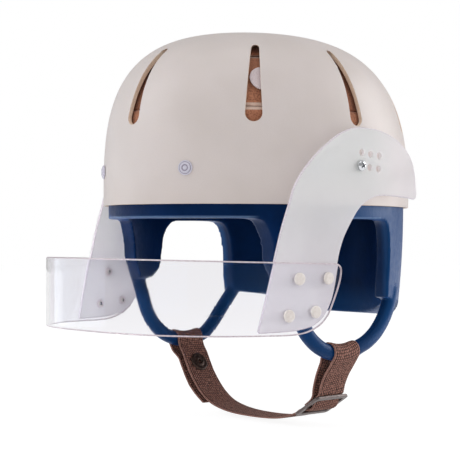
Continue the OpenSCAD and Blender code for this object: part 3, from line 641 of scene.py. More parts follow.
# Painted shade: darker lavender in the grooves of the shell rivets' heads.
M_GROOVE_SHADE = make_plastic("rivet_groove_shade", lin(136, 128, 146), lin(158, 150, 166), (0.45, 0.6))
M_CAP = make_plastic("pearl_cap", lin(226, 216, 210), lin(242, 235, 230), (0.26, 0.4), 0.3, 0.2, 1.6)
M_WASHER = make_plastic("pale_washer", lin(196, 194, 196), lin(216, 213, 214), (0.35, 0.5))
M_BACK = make_plastic("rivet_back", lin(228, 214, 218), lin(240, 230, 234), (0.35, 0.5))
# Painted shade: dark grey inside the hollow ends of the bar rivets.
M_HOLLOW_SHADE = make_plastic("rivet_hollow_shade", lin(70, 62, 74), lin(96, 86, 98), (0.5, 0.65))
M_SPACER = make_plastic("off_white_spacer", lin(206, 198, 190), lin(224, 217, 210), (0.4, 0.55))

def share(z, h):
    z = max(z, 0.0)
    return 0.0 if z >= h else (1 - (z / h) ** 3) ** (1 / 3)


def lean(z):
    return 0.0 if z <= 0 else -6 * (z / CROWN) ** 2


def wall_point(inset, a, z):
    s = share(z, CROWN - inset)
    return ((HALF_W - inset) * s * math.sin(a), lean(z) - (HALF_L - inset) * s * math.cos(a), z)


def polar_point(inset, p, z):
    """Point of the wall at the polar angle p in degrees, and its level outward normal."""
    s = share(z, CROWN - inset)
    a, b = (HALF_W - inset) * s, (HALF_L - inset) * s
    r = 1 / math.sqrt((math.sin(rad(p)) / a) ** 2 + (math.cos(rad(p)) / b) ** 2)
    x, y = r * math.sin(rad(p)), -r * math.cos(rad(p))
    return (x, y + lean(z), z), Vector((x / a ** 2, y / b ** 2, 0)).normalized()


def dome(name, inset, thick, z0, rings, around, mats):
    """A domed wall open below, as one closed mesh."""
    verts, faces = [], []
    sides = []
    for k, i in enumerate((inset, inset + thick)):
        h = CROWN - i
        b0 = math.asin((z0 / h) ** 1.5)
        rows = []
        for r in range(rings):
            b = b0 + (math.pi / 2 - b0) * (r / rings) ** (1.25 if z0 == 0 else 1.0)
            z = h * math.sin(b) ** (2 / 3)
            rows.append([len(verts) + j for j in range(around)])
            verts += [wall_point(i, 2 * math.pi * j / around, z) for j in range(around)]
        tip = len(verts)
        verts.append((0, lean(h), h))
        for r in range(rings - 1):
            for j in range(around):
                n = (j + 1) % around
                q = (rows[r][j], rows[r][n], rows[r + 1][n], rows[r + 1][j])
                faces.append(q if k == 0 else q[::-1])
        for j in range(around):
            q = (rows[-1][j], rows[-1][(j + 1) % around], tip)
            faces.append(q if k == 0 else q[::-1])
        sides.append(rows[0])
    for j in range(around):
        n = (j + 1) % around
        faces.append((sides[0][n], sides[0][j], sides[1][j], sides[1][n]))
    return fix_normals(mesh(name, verts, faces, mats))


def vent_cutter(turn):
    low, top = 11.5 / 2, 5.5 / 2
    z0, z1 = 55.0, 110.0
    line = [(low * math.cos(rad(a)), z0 + low + low * math.sin(rad(a))) for a in range(180, 361, 12)]
    line += [(top * math.cos(rad(a)), z1 - top + top * math.sin(rad(a))) for a in range(0, 181, 18)]
    n = len(line)
    verts = [(x, y, z) for y in (-30.0, -240.0) for x, z in line]
    faces = [list(range(n)), [2 * n - 1 - i for i in range(n)]]
    faces += [(i, n + i, n + (i + 1) % n, (i + 1) % n) for i in range(n)]
    o = fix_normals(mesh("vent", verts, faces, [M_EDGE]))
    o.data.transform(Matrix.Rotation(rad(turn), 4, "Z"))
    return o


def build_shell():
    o = dome("moulded_shell", 0, WALL, 0, 60, 192, [M_SHELL, M_EDGE])
    vents = join("vents", [vent_cutter(45 * i) for i in range(8)])
    cut(o, vents)
    edge = o.data.materials.find(M_EDGE.name)
    for p in o.data.polygons:
        if abs(p.normal.z) > 0.95 and p.center.z < 0.0002:
            p.material_index = edge
    bevel(o, 0.45, 2, 38, 0.2)
    weld(o, 0.16)
    sharpen(o, 42)
    weighted(o)
    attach(o, "helmet")
    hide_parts("shell_band", "shell_crown")
    return o


build_shell()

# liner and loops



def nape_z(y):
    return 16.5 - NAPE - 4 * (y - 45) / 30


def tuck(z):
    return 1.0 if z >= 0 else 1 - 0.045 * (z / NAPE) ** 2


def liner_outline():
    out = [(-200, 200), (-200, -BROW)]
    out += curve([(-84, -BROW), (-71, -10.3), (-66.5, -16), (-63, -27), (-61.5, -40), (-55.5, -TEMPLE)], 8)
    out += curve([(-44, -TEMPLE), (-36, -52), (-28, -45), (-25, -36), (-21, -20), (-13, -11)], 8)
    out += curve([(-7, -BROW), (30, -BROW), (39, -12.5), (43, -22), (44.5, -38), (44, -54), (45, nape_z(45))], 8)
    out += curve([(60, nape_z(60)), (75, nape_z(75)), (85, 8.5 - NAPE), (93, 4 - NAPE), (101, 0.4 - NAPE),
                  (108, -NAPE)], 6)
    out += [(200, -NAPE), (200, 200)]
    return [tuple(map(float, q)) for q in out]


def ring_wall(name, inset, thick, zs, around, mats):
    verts, faces = [], []
    for i in (inset, inset + thick):
        for z in zs:
            for j in range(around):
                x, y, _ = wall_point(i, 2 * math.pi * j / around, max(z, 0))
                verts.append((x * tuck(z), y * tuck(z), z))
    m, n = len(zs) * around, around
    for k in (0, 1):
        for r in range(len(zs) - 1):
            for j in range(n):
                a, b = k * m + r * n + j, k * m + r * n + (j + 1) % n
                q = (a, b, b + n, a + n)
                faces.append(q if k == 0 else q[::-1])
    for base, flip in ((0, True), (m - n, False)):
        for j in range(n):
            a, b = base + j, base + (j + 1) % n
            q = (a, b, b + m, a + m)
            faces.append(q[::-1] if flip else q)
    return fix_normals(mesh(name, verts, faces, mats))


LOOP_R, LOOP_DROP, LOOP_X, LOOP_D = 45.0, 103.5, 84.5, 10.0
LOOP_CENTRE = LOOP_R - LOOP_DROP
FRONT_SLOPE = 70
REAR_LEGS = {1: (24, [(27, 7.2), (37, 13), (46, 21), (52.5, 29.5), (56.5, 38.5), (58.5, 46.5)]),
             -1: (28, [(27.5, 11), (34, 19), (40.5, 27.5), (47, 36), (52, 43.5)])}


def loop_bend(a):
    return np.array([LOOP_R * math.sin(rad(a)), LOOP_CENTRE - LOOP_R * math.cos(rad(a))])


def loop_lean(y):
    if abs(y) < 22:
        return 0.0
    return 1.5 * ((abs(y) - 22) / 28) ** 2 if y < 0 else 4 * ((y - 22) / 32) ** 1.6


def loop_line(side):
    """Middle line of an ear loop, whose legs run on into the liner."""
    end, rear = REAR_LEGS[side]
    f = loop_bend(-FRONT_SLOPE)
    fd = np.array([-math.cos(rad(FRONT_SLOPE)), math.sin(rad(FRONT_SLOPE))])
    front = (-TEMPLE + 12 - f[1]) / math.sin(rad(FRONT_SLOPE))
    line = [f + k / 8 * front * fd for k in range(8, 0, -1)]
    line += [loop_bend(-FRONT_SLOPE + i * (FRONT_SLOPE + end) / 44) for i in range(44)]
    line += curve([loop_bend(end)] + [(y, h - LOOP_DROP) for y, h in rear], 6)
    return [(LOOP_X - loop_lean(p[0]), p[0], p[1]) for p in line]


def tube(name, line, d, n, mats, s=1):
    p = [Vector(q) for q in line]
    verts, faces = [], []
    for i, c in enumerate(p):
        t = (p[min(i + 1, len(p) - 1)] - p[max(i - 1, 0)]).normalized()
        side = Vector((1, 0, 0))
        up = t.cross(side).normalized()
        side = up.cross(t).normalized()
        for k in range(n):
            a = 2 * math.pi * k / n
            v = c + d / 2 * (math.cos(a) * side + math.sin(a) * up)
            verts.append((s * v.x, v.y, v.z))
    for i in range(len(p) - 1):
        for k in range(n):
            faces.append((i * n + k, i * n + (k + 1) % n, (i + 1) * n + (k + 1) % n, (i + 1) * n + k))
    faces.append(list(range(n)))
    faces.append([len(verts) - n + k for k in range(n)])
    return fix_normals(mesh(name, verts, faces, mats))


def soft_blend(o, voxel, rounds, factor=0.5):
    """Remeshes o evenly and lets its edges go round, as a dipped or moulded foam has them."""
    m = o.modifiers.new("remesh", "REMESH")
    m.mode = "VOXEL"
    m.voxel_size = voxel * MM
    m.use_smooth_shade = True
    s = o.modifiers.new("smooth", "SMOOTH")
    s.factor = factor
    s.iterations = rounds
    return bake(o)


def build_liner():
    zs = [-88, -80, -70, -60, -50, -40, -30, -20, -10, 0, 8, 16, 24, 32, 40, 47]
    o = ring_wall("liner_wall", WALL + 0.7, 12.3, zs, 160, [M_LINER])
    cut(o, prism_x("side", liner_outline(), -150, 150, [M_LINER]), "INTERSECT")
    loops = [tube("loop", loop_line(s), LOOP_D + 0.6, 24, [M_LINER], s) for s in (1, -1)]
    o = join("dipped_liner", [o] + loops)
    soft_blend(o, 1.0, 4)
    o.data.materials.clear()
    o.data.materials.append(M_LINER)
    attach(o, "helmet")
    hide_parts("foam_liner", "ear_loop_left", "ear_loop_right")
    return o


build_liner()



def build_pads():
    rim = ring_wall("rim_cushion", WALL + 1.5, 10.6, [47.5, 52, 57, 62, PAD_SEAM - 0.1], 128, [M_PAD])
    low, high = PAD_SEAM + 0.1, DISC_Z - 0.2
    crown = ring_wall("crown_cushion", WALL + 2.8, 9.6, [low + (high - low) * k for k in
                                                        (0, 0.15, 0.3, 0.45, 0.6, 0.72, 0.82, 0.9, 0.96, 1)], 128, [M_PAD])
    disc = dome("crown_cap_cushion", WALL + 2.8, 9.6, DISC_Z + 0.5, 12, 128, [M_PAD])
    for o, node in ((rim, "rim_pad"), (crown, "crown_pad"), (disc, "crown_disc")):
        soft_blend(o, 1.5, 3)
        o.data.materials.clear()
        o.data.materials.append(M_PAD)
        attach(o, "helmet")
        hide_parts(node)


build_pads()


def build_dots():
    """Hook dots that follow the dome between the crown pad and the shell."""
    parts = []
    for p in (50, 140, 230, 320):
        h = CROWN - 4.25
        s = share(85.5, h)
        (x, y, z), _ = polar_point(4.25, p, 85.5)
        y -= lean(z)
        n = Vector((s * x / (HALF_W - 4.25) ** 2, s * y / (HALF_L - 4.25) ** 2, z * z / h ** 3)).normalized()
        prof = [(0, -1.0), (9.2, -1.0), (9.4, -0.6), (9.4, -0.2), (9.1, 0.0), (6, 0.05), (3, 0.07), (0, 0.08)]
        d = lathe("dot", prof, [M_HOOK], 40)
        parts.append(place(d, (x, y + lean(z), z), n))
    o = sharpen(join("hook_discs", parts), 40)
    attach(o, "helmet")
    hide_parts("hook_dots")


build_dots()

# shell hardware

RIVET_Z, PIVOT = 24.0, (-3.5, 27.0)
GRIP = 3 + 0.5 + 12.5 + 1.2


def build_rivets():
    head = [(0, 2.0), (1.0, 1.98), (1.5, 1.7), (2.0, 1.62), (2.3, 1.85), (2.9, 2.0), (3.5, 1.8), (3.75, 1.35), (3.95, 1.2),
            (4.2, 1.3), (4.6, 1.25), (4.95, 0.9), (5.05, 0.5), (5.0, 0.25), (2.1, 0.2), (2.0, -GRIP - 1.4),
            (1.7, -GRIP - 1.7), (0, -GRIP - 1.75)]
    # Stretches marked 1 are the head's grooves, which take the painted shade.
    mats = [0, 0, 1, 1, 0, 0, 0, 1, 1, 0, 0, 0, 0, 0, 0, 0, 0]
    parts = []
    for p in (22.5, 67.5, 157.5, -22.5, -67.5, -157.5):
        at, n = polar_point(0, p, RIVET_Z)
        parts.append(place(lathe("rivet", head, [M_RIVET, M_GROOVE_SHADE], 48, mats), at, n))
    shank = [(0, 2.4), (1.6, 2.4), (2.0, 2.1), (2.0, -GRIP - 1.4), (1.7, -GRIP - 1.7), (0, -GRIP - 1.75)]
    for p in (116, -116):
        at, n = polar_point(0, p, RIVET_Z)
        parts.append(place(lathe("rivet", shank, [M_RIVET], 32), at, n))
    o = sharpen(join("liner_rivets", parts), 50)
    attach(o, "helmet")
    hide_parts("shell_rivets")

    ring = [(2.06, 0.1), (2.4, -0.1), (5.6, -0.1), (5.95, 0.2), (5.95, 0.6), (5.6, 0.95), (4.4, 1.0), (3.9, 0.8),
            (2.5, 0.8), (2.06, 0.6), (2.06, 0.1)]
    parts = []
    for p in (22.5, 67.5, 157.5, -22.5, -67.5, -157.5, 116, -116):
        at, n = polar_point(0, p, RIVET_Z)
        at = Vector(at) - n * (GRIP + 0.2)
        parts.append(place(lathe("washer", ring, [M_WASHER], 40), at, -n))
    o = sharpen(join("inner_washers", parts), 40)
    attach(o, "helmet")
    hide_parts("rivet_washers")


build_rivets()


def build_standoffs():
    parts = []
    face = 103.8
    for s in (1, -1):
        at, n = polar_point(0, 116 * s, RIVET_Z)
        body = [(0, 0.5), (4.9, 0.5), (5.25, 0.8), (5.25, 16.0), (0, 16.0)]
        o = place(lathe("bumper", body, [M_SPACER], 48), at, n)
        box = prism_x("box", [(-100, -100), (100, -100), (100, 100), (-100, 100)], s * face, s * (face + 60))
        cut(o, box)
        bevel(o, 0.35, 2, 35)
        parts.append(o)
    o = sharpen(join("arm_bumpers", parts), 35)
    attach(o, "helmet")
    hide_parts("rear_standoffs")


build_standoffs()

ARM_IN, ARM_OUT = 104.0, 106.4


def build_pivots():
    for s, side in ((1, "left"), (-1, "right")):
        head_x = ARM_OUT + 0.1
        prof = [(0, 2.6), (1.6, 2.52), (2.6, 2.2), (3.3, 1.7), (3.7, 1.05), (3.8, 0.5), (3.7, 0.06), (3.5, 0), (2.12, 0),
                (2.1, -14.0), (1.7, -14.6), (0, -14.6)]
        o = lathe("screw", prof, [M_CHROME], 56)
        for a in (35, 125):
            half = [(-2.2, -0.5), (2.2, -0.5), (2.2, 0.5), (-2.2, 0.5)]
            v = [(x, y, z) for z in (0.9, 3.5) for x, y in half]
            f = [(3, 2, 1, 0), (4, 5, 6, 7), (0, 1, 5, 4), (1, 2, 6, 5), (2, 3, 7, 6), (3, 0, 4, 7)]
            # The slot walls take the dark painted shade.
            box = mesh("slot", v, f, [M_SLOT_SHADE])
            box.data.transform(Matrix.Rotation(rad(a), 4, "Z"))
            cut(o, box)
        bevel(o, 0.1, 2, 40)
        place(o, (s * head_x, PIVOT[0], PIVOT[1]), (s, 0, 0))
        o.name = o.data.name = "pan_screw_" + side
        sharpen(o, 40)
        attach(o, "helmet")
        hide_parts("pivot_screw_" + side)

        ring = [(2.16, 0), (5.9, 0), (6.4, 0.25), (6.5, 0.6), (6.5, 0.95), (6.3, 1.3), (5.9, 1.38), (2.3, 1.38), (2.16, 1.2),
                (2.16, 0)]
        o = place(lathe("spacer_disc_" + side, ring, [M_SPACER], 56), (s * 102.52, PIVOT[0], PIVOT[1]), (s, 0, 0))
        sharpen(o, 40)
        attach(o, "helmet")
        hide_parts("pivot_spacer_" + side)

        lo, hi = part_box("pivot_nut_" + side)
        inner = min(abs(lo.x), abs(hi.x)) / MM
        depth = (hi.x - lo.x) / MM
        body = [(2.16, 0), (3.2, 0), (3.55, 0.3), (3.55, depth - 1.1), (3.8, depth - 1.0), (6.1, depth - 1.0),
                (6.45, depth - 0.75), (6.45, depth - 0.3), (6.2, depth), (2.5, depth), (2.16, depth - 0.3), (2.16, 0)]
        o = place(lathe("barrel_nut_" + side, body, [M_CHROME], 48), (s * inner, PIVOT[0], PIVOT[1]), (s, 0, 0))
        sharpen(o, 40)
        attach(o, "helmet")
        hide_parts("pivot_nut_" + side)


build_pivots()

# face guard

GUARD_W, REACH, START, SQUARE = 108.8, 158.1, 18.0, 2.8
DEPTH = REACH - START
BAR_T, ARM_T = 2.4, 2.4
BAR_TOP, BAR_H = 39.4, 47.2
BAR_BOTTOM = BAR_TOP + BAR_H


def guard_side(y):
    q = -y - START
    return GUARD_W if q <= 0 else GUARD_W * (1 - (q / DEPTH) ** SQUARE) ** (1 / SQUARE)


def guard_slope(x, y):
    q = max(-y - START, 0.0)
    gx = (abs(x) / GUARD_W) ** (SQUARE - 1) / GUARD_W * (1 if x >= 0 else -1)
    gy = -(q / DEPTH) ** (SQUARE - 1) / DEPTH
    n = math.hypot(gx, gy)
    return np.array([gx / n, gy / n])


def guard_line(inset, a0, a1, n):
    out = []
    for i in range(n + 1):
        a = rad(a0 + (a1 - a0) * i / n)
        r = ((abs(math.sin(a)) / GUARD_W) ** SQUARE + (math.cos(a) / DEPTH) ** SQUARE) ** (-1 / SQUARE)
        p = np.array([r * math.sin(a), -START - r * math.cos(a)])
        out.append(p - inset * guard_slope(p[0], p[1]))
    return out


def guard_table():
    """Arc lengths from the middle of the front, with the outer points there, along the left side."""
    points = guard_line(0, 0, 90, 600) + [np.array([GUARD_W, 80.0])]
    steps = [np.linalg.norm(q - p) for p, q in zip(points, points[1:])]
    return np.concatenate([[0.0], np.cumsum(steps)]), np.array(points)


ARC, ARC_POINTS = guard_table()


def on_guard(arc, inset):
    x, y = (float(np.interp(abs(arc), ARC, ARC_POINTS[:, k])) for k in (0, 1))
    p = np.array([x, y]) - inset * guard_slope(x, y)
    return (p[0] if arc >= 0 else -p[0]), p[1]


def arcs_at(ys, inset):
    """Arc lengths of the places at a depth below the outer line, from their Y."""
    line = [on_guard(a, inset)[1] for a in ARC]
    return [float(np.interp(y, line, ARC)) for y in ys]


def turned(v):
    return np.array([-v[1], v[0]])


def plate(name, outline, inset, thick, rim, stations, mats):
    """A bent sheet with rounded edges, from an outline of [arc length, height] points."""
    pts = [np.array(q, float) for q in outline]
    n = len(pts)
    turn = sum(pts[i - 1][0] * pts[i][1] - pts[i][0] * pts[i - 1][1] for i in range(n))
    pts = pts if turn > 0 else pts[::-1]
    inward = []
    for i in range(n):
        u, v = pts[i] - pts[i - 1], pts[(i + 1) % n] - pts[i]
        u, v = turned(u / np.linalg.norm(u)), turned(v / np.linalg.norm(v))
        m = (u + v) / np.linalg.norm(u + v)
        inward.append(m / max(float(m @ u), 0.6))
    bm = bmesh.new()
    rings = []
    for way in (1, -1):
        for t in (0, 25, 50, 70, 90):
            d, h = rim * (1 - math.cos(rad(t))), thick / 2 - rim + rim * math.sin(rad(t))
            rings.append([bm.verts.new((way * h, *(q + d * m))) for q, m in zip(pts, inward)])
    half = len(rings) // 2
    for a, b in [(rings[0], rings[half])] + [(rings[k], rings[k + 1]) for k in range(2 * half - 1) if k != half - 1]:
        for i in range(n):
            j = (i + 1) % n
            bm.faces.new((a[i], a[j], b[j], b[i])).material_index = 1
    for k in (half - 1, 2 * half - 1):
        bm.faces.new(rings[k])
    for arc in stations:
        bmesh.ops.bisect_plane(bm, geom=bm.verts[:] + bm.edges[:] + bm.faces[:], dist=0.05, plane_co=(0, arc, 0),
                               plane_no=(0, 1, 0))
    for v in bm.verts:
        x, y = on_guard(v.co.y, inset + thick / 2 - v.co.x)
        v.co = Vector((x, y, v.co.z)) * MM
    bmesh.ops.recalc_face_normals(bm, faces=bm.faces)
    for f in bm.faces:
        f.smooth = True
    me = bpy.data.meshes.new(name)
    bm.to_mesh(me)
    bm.free()
    for m in mats:
        me.materials.append(m)
    return link(bpy.data.objects.new(name, me))


BAR_END, BAR_TOP_TILT, BAR_LOW_TILT = -24.4, 1.47, 0.8


def bar_outline():
    """Outline of the bar as [arc length, height] points, round at both rear ends."""
    b, depth = BAR_END, BAR_T / 2
    end = curve([(b - 6, -BAR_TOP), (b - 1.8, -BAR_TOP - 1.4), (b, -BAR_TOP - 5.5), (b - 2, -BAR_TOP - 14),
                 (b - 7, -BAR_TOP - 25), (b - 12.6, 12.5 - BAR_BOTTOM), (b - 20, 6 - BAR_BOTTOM),
                 (b - 30, 2 - BAR_BOTTOM), (b - 40, 0.3 - BAR_BOTTOM), (b - 50, -BAR_BOTTOM)], 8)
    left = list(zip(arcs_at([q[0] for q in end], depth), [q[1] for q in end]))
    right = [(-a, z) for a, z in left[::-1]]

    def run(a0, a1, y0, z0, tilt, n=90):
        arcs = [a0 + (a1 - a0) * k / n for k in range(1, n)]
        return [(a, z0 + math.tan(rad(tilt)) * max(y0 - on_guard(a, depth)[1], 0)) for a in arcs]

    low = run(left[-1][0], right[0][0], b - 50, -BAR_BOTTOM, BAR_LOW_TILT)
    top = run(right[-1][0], left[0][0], b - 9, -BAR_TOP, BAR_TOP_TILT)
    return left + low + right + top


def build_bar():
    outline = bar_outline()
    reach = max(q[0] for q in outline)
    stations = [-reach + 2 * reach * k / 280 for k in range(1, 280)]
    o = plate("clear_face_bar", outline, 0, BAR_T, 0.95, stations, [M_BAR, M_BAR_EDGE])
    sharpen(o, 60)
    weighted(o)
    o.visible_shadow = False
    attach(o, "face_guard")
    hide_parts("face_bar")


build_bar()

ARM_RISE, ARM_REAR, GAP = 53.4, 55.5, 0.15


def arm_outline():
    r, e, b = ARM_RISE, ARM_REAR, BAR_BOTTOM
    out = [(-92, 2.2 - b), (-93, 3.4 - b)]
    out += curve([(-92.4, 6 - b), (-87.8, -63), (-81, -37), (-75.5, -17), (-69.5, 0), (-65.5, 11), (-58, 22),
                  (-46, r - 19.6), (-33, r - 10.3), (-22, r - 4.3), (-10, r - 0.6), (2, r), (16, r - 1), (29, r - 4.6),
                  (39, r - 9.6), (e - 9.5, r - 15.2), (e - 4.4, r - 22), (e - 1.4, 21), (e, 9)], 6)
    out += [(e - 0.6, 6), (e - 2.6, 5)]
    out += curve([(e - 9, 5.7), (25, 7), (11, 5.9), (-0.7, 0.7), (-9, -6.8), (-19, -20.4), (-24, -31), (-27, -42),
                  (-30, -55), (-34, -66), (-41, -75.5), (-50.5, -81), (-64.5, 3.1 - b), (-80, 2.4 - b)], 6)
    return [tuple(map(float, q)) for q in out]


def hole_cutter(y, z, d, x0, x1, mat):
    prof = [(0, 0), (d / 2, 0), (d / 2, x1 - x0), (0, x1 - x0)]
    return place(lathe("hole", prof, [mat], 40), (x0, y, z), (1, 0, 0))


def build_arms():
    outline = arm_outline()
    arcs = arcs_at([q[0] for q in outline], BAR_T + ARM_T / 2)
    bend = arcs_at([-START], 0)[0]
    first = min(arcs)
    stations = [first + (bend - first) * k / 64 for k in range(1, 65)] + [bend + 6 * k for k in range(1, 12)]
    o = plate("frosted_arm_left", list(zip(arcs, [q[1] for q in outline])), BAR_T + GAP, ARM_T - GAP, 0.7, stations,
              [M_ARM, M_ARM_EDGE])
    holes = []
    for i in range(3):
        for j in range(2):
            u, v = 9.0 * i, 9.2 * j
            y = PIVOT[0] + u * math.cos(rad(5)) + v * math.sin(rad(5))
            z = PIVOT[1] - u * math.sin(rad(5)) + v * math.cos(rad(5))
            # The hole walls take the painted light.
            holes.append(hole_cutter(y, z, 5.0 if i + j else 4.3, 98, 112, M_HOLE_LIGHT))
    cut(o, join("holes", holes))
    sharpen(o, 60)
    weighted(o)
    o.name = o.data.name = "frosted_arm_left"
    r = mirrored(o, "frosted_arm_right")
    for p, side in ((o, "left"), (r, "right")):
        p.visible_shadow = False
        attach(p, "face_guard")
        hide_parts("side_arm_" + side)


build_arms()

SPOTS = [(-64, 10), (-38.5, 10), (-72.5, 34), (-50, 32)]


def build_caps():
    cap = [(0, 2.12), (1.2, 2.14), (2.3, 2.16), (3.0, 2.18), (3.55, 2.08), (3.95, 1.8), (4.15, 1.35), (4.2, 0.55),
           (4.15, 0.2), (4.0, 0.12), (1.7, 0.12), (1.7, -BAR_T - ARM_T - 1.1), (1.5, -BAR_T - ARM_T - 1.3),
           (1.2, -BAR_T - ARM_T - 1.3), (1.05, -BAR_T - ARM_T + 0.3), (0, -BAR_T - ARM_T + 0.5)]
    # The last two stretches, the hollow end, take the painted shade.
    mats = [0] * (len(cap) - 3) + [1, 1]
    ring = [(1.74, 0), (2.9, 0), (3.15, 0.25), (3.15, 0.65), (2.95, 0.88), (2.1, 0.9), (1.74, 0.7), (1.74, 0)]
    caps, backs = [], []
    for y, d in SPOTS:
        x = guard_side(y)
        n2 = guard_slope(x, y)
        n = Vector((n2[0], n2[1], 0))
        at = Vector((x, y, -BAR_TOP - d))
        caps.append(place(lathe("cap", cap, [M_CAP, M_HOLLOW_SHADE], 56, mats), at, n))
        backs.append(place(lathe("back", ring, [M_BACK], 40), at - n * (BAR_T + ARM_T + 0.2), -n))
    cl = sharpen(join("pearl_caps_left", caps), 45)
    bl = sharpen(join("back_rings_left", backs), 45)
    cr = mirrored(cl, "pearl_caps_right")
    br = mirrored(bl, "back_rings_right")
    for p, node, slot in ((cl, "bar_rivets_left", "cap"), (cr, "bar_rivets_right", "cap"),
                          (bl, "rivet_backs_left", "washer"), (br, "rivet_backs_right", "washer")):
        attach(p, "face_guard")
        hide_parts(node)


build_caps()

# chin strap

WEB_W, WEB_T, CHIN = 25.0, 1.8, 154.0
FOLD_R = LOOP_D / 2 + 0.4 + WEB_T / 2
SLIDE_AT, SLIDE_SLOPE = np.array([66.0, -141.0]), 32.5
SLIDE_LEN, SLIDE_BAR, SLIDE_T = 26.5, 3.5, 2.0
SLIDE_PITCH = (SLIDE_LEN - SLIDE_BAR) / 2
WEB_OFF = SLIDE_T / 2 + WEB_T / 2 + 0.25
SNAP_AT, SNAP_DIR, SNAP_N = np.array([-68.4, -120.7]), np.array([0.514, -0.857]), np.array([0.857, 0.514])
SNAP_STACK = 4.4


def fold_at(s, a):
    return np.array([s * LOOP_X + FOLD_R * math.cos(rad(a)), -LOOP_DROP + FOLD_R * math.sin(rad(a))])


def on_slide(u, n):
    c, s = math.cos(rad(SLIDE_SLOPE)), math.sin(rad(SLIDE_SLOPE))
    return SLIDE_AT + u * np.array([c, s]) + n * np.array([s, -c])


def chin_path():
    p, b, w = SLIDE_PITCH, SLIDE_BAR, WEB_OFF
    thread = [on_slide(u, n) for u, n in (
        (-p - 3.5, -w - 0.1), (-p - 1, -w), (-p + b / 2 + 0.4, -w), (-p / 2, 0), (-b / 2 - 0.5, w), (b / 2 + 0.5, w),
        (p / 2, 0), (p - b / 2 - 0.4, -w), (p + 0.8, -w - 0.15))]
    tail = SNAP_AT - (WEB_T + SNAP_STACK) * SNAP_N
    out = curve([on_slide(-3.5, -w - 0.6), (68.3, -135), (69.6, -128), (72.3, -119), (76.6, -110.5)], 6)
    out += [fold_at(1, a) for a in range(180, -46, -5)]
    out += curve([(85.1, -112.9), (80, -119.5), (76.6, -126.5)], 6)
    out += curve(thread[::-1] + [(44, -CHIN + 3.9), (32, -CHIN + 1.4), (17, -CHIN + 0.2), (0, -CHIN), (-14, -CHIN + 0.5),
                                 (-27, -CHIN + 2.1), (-40, -CHIN + 5.6), (-51, -CHIN + 12.3), (-59.5, -133.4)], 6)
    out += [SNAP_AT + k * SNAP_DIR for k in (7.5, 3.7, 0, -3.7, -7.5)]
    out += curve([(-76, -110), (-77.8, -106.6)], 4)
    out += [fold_at(-1, a) for a in range(0, 226, 5)]
    out += [(-85.6, -112.4)]
    out += [tail + k * SNAP_DIR for k in (-7.5, -3.7, 0, 3.7, 7.5)]
    out += curve([(-65, -137), (-57.5, -143.4), (-48.5, -149.2)], 6)
    return [np.array(q, float) for q in out]


def resample(path, step):
    d = [0.0]
    for a, b in zip(path, path[1:]):
        d.append(d[-1] + float(np.linalg.norm(b - a)))
    d = np.array(d)
    keep = np.concatenate([[True], np.diff(d) > 1e-6])
    p, d = np.array(path)[keep], d[keep]
    n = int(round(d[-1] / step))
    t = np.linspace(0, d[-1], n + 1)
    return [np.array([np.interp(v, d, p[:, 0]), np.interp(v, d, p[:, 1])]) for v in t], float(d[-1])


SADDLE_FULL = LOOP_DROP + 3
SADDLE_GONE = SADDLE_FULL + 14


def saddle(z, y):
    k = (z + SADDLE_GONE) / (SADDLE_GONE - SADDLE_FULL)
    r = LOOP_CENTRE - z
    return min(max(k, 0), 1) * (r - math.sqrt(r * r - y * y))


def build_webbing():
    path, length = resample(chin_path(), 0.5)
    # smooth the resampled line a little
    pts = np.array(path)
    for _ in range(4):
        pts[1:-1] = 0.25 * pts[:-2] + 0.5 * pts[1:-1] + 0.25 * pts[2:]
    n = len(pts)
    half = WEB_W / 2 - 0.05
    t = WEB_T / 2 - 0.08
    section = []
    cols = 12
    for k in range(cols + 1):
        y = -half + 2 * half * k / cols
        edge = 1 - abs(y) / half
        section.append((y, t * min(1.0, 0.55 + 6 * edge)))
    ring = section + [(half + 0.02, 0.0)] + [(y, -h) for y, h in section[::-1]] + [(-half - 0.02, 0.0)]
    m = len(ring)
    verts, faces, uv = [], [], []
    step = length / (n - 1)
    for i in range(n):
        d = pts[min(i + 1, n - 1)] - pts[max(i - 1, 0)]
        d = d / np.linalg.norm(d)
        side = np.array([-d[1], d[0]])
        s = i * step
        scallop = 0.10 * math.cos(2 * math.pi * s / 1.55)
        fray = 0.75 if i in (0, n - 1) else 1.0
        for y, h in ring:
            yy = y + (scallop * abs(y) / half) * (1 if y > 0 else -1) * (1 if abs(y) > half * 0.9 else 0)
            q = pts[i] + side * h * fray
            verts.append((q[0], yy, q[1] + saddle(q[1], yy)))
            uv.append((yy + 12.5 if h >= 0 else yy + 12.5, s))
    for i in range(n - 1):
        for k in range(m):
            j = (k + 1) % m
            faces.append((i * m + k, i * m + j, (i + 1) * m + j, (i + 1) * m + k))
    faces.append(list(range(m)))
    faces.append([(n - 1) * m + k for k in range(m)][::-1])
    o = mesh("chin_strap_webbing", verts, faces, [M_WEB])
    layer = o.data.uv_layers.new(name="UVMap")
    for loop in o.data.loops:
        layer.data[loop.index].uv = uv[loop.vertex_index]
    fix_normals(o)
    sharpen(o, 60)
    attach(o, "chin_strap")
    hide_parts("chin_webbing")
    print("webbing length mm", round(length, 1))
    return o


build_webbing()


def snap_place(o, h):
    at = SNAP_AT + h * SNAP_N
    return place(o, (at[0], 0, at[1]), (SNAP_N[0], 0, SNAP_N[1]))


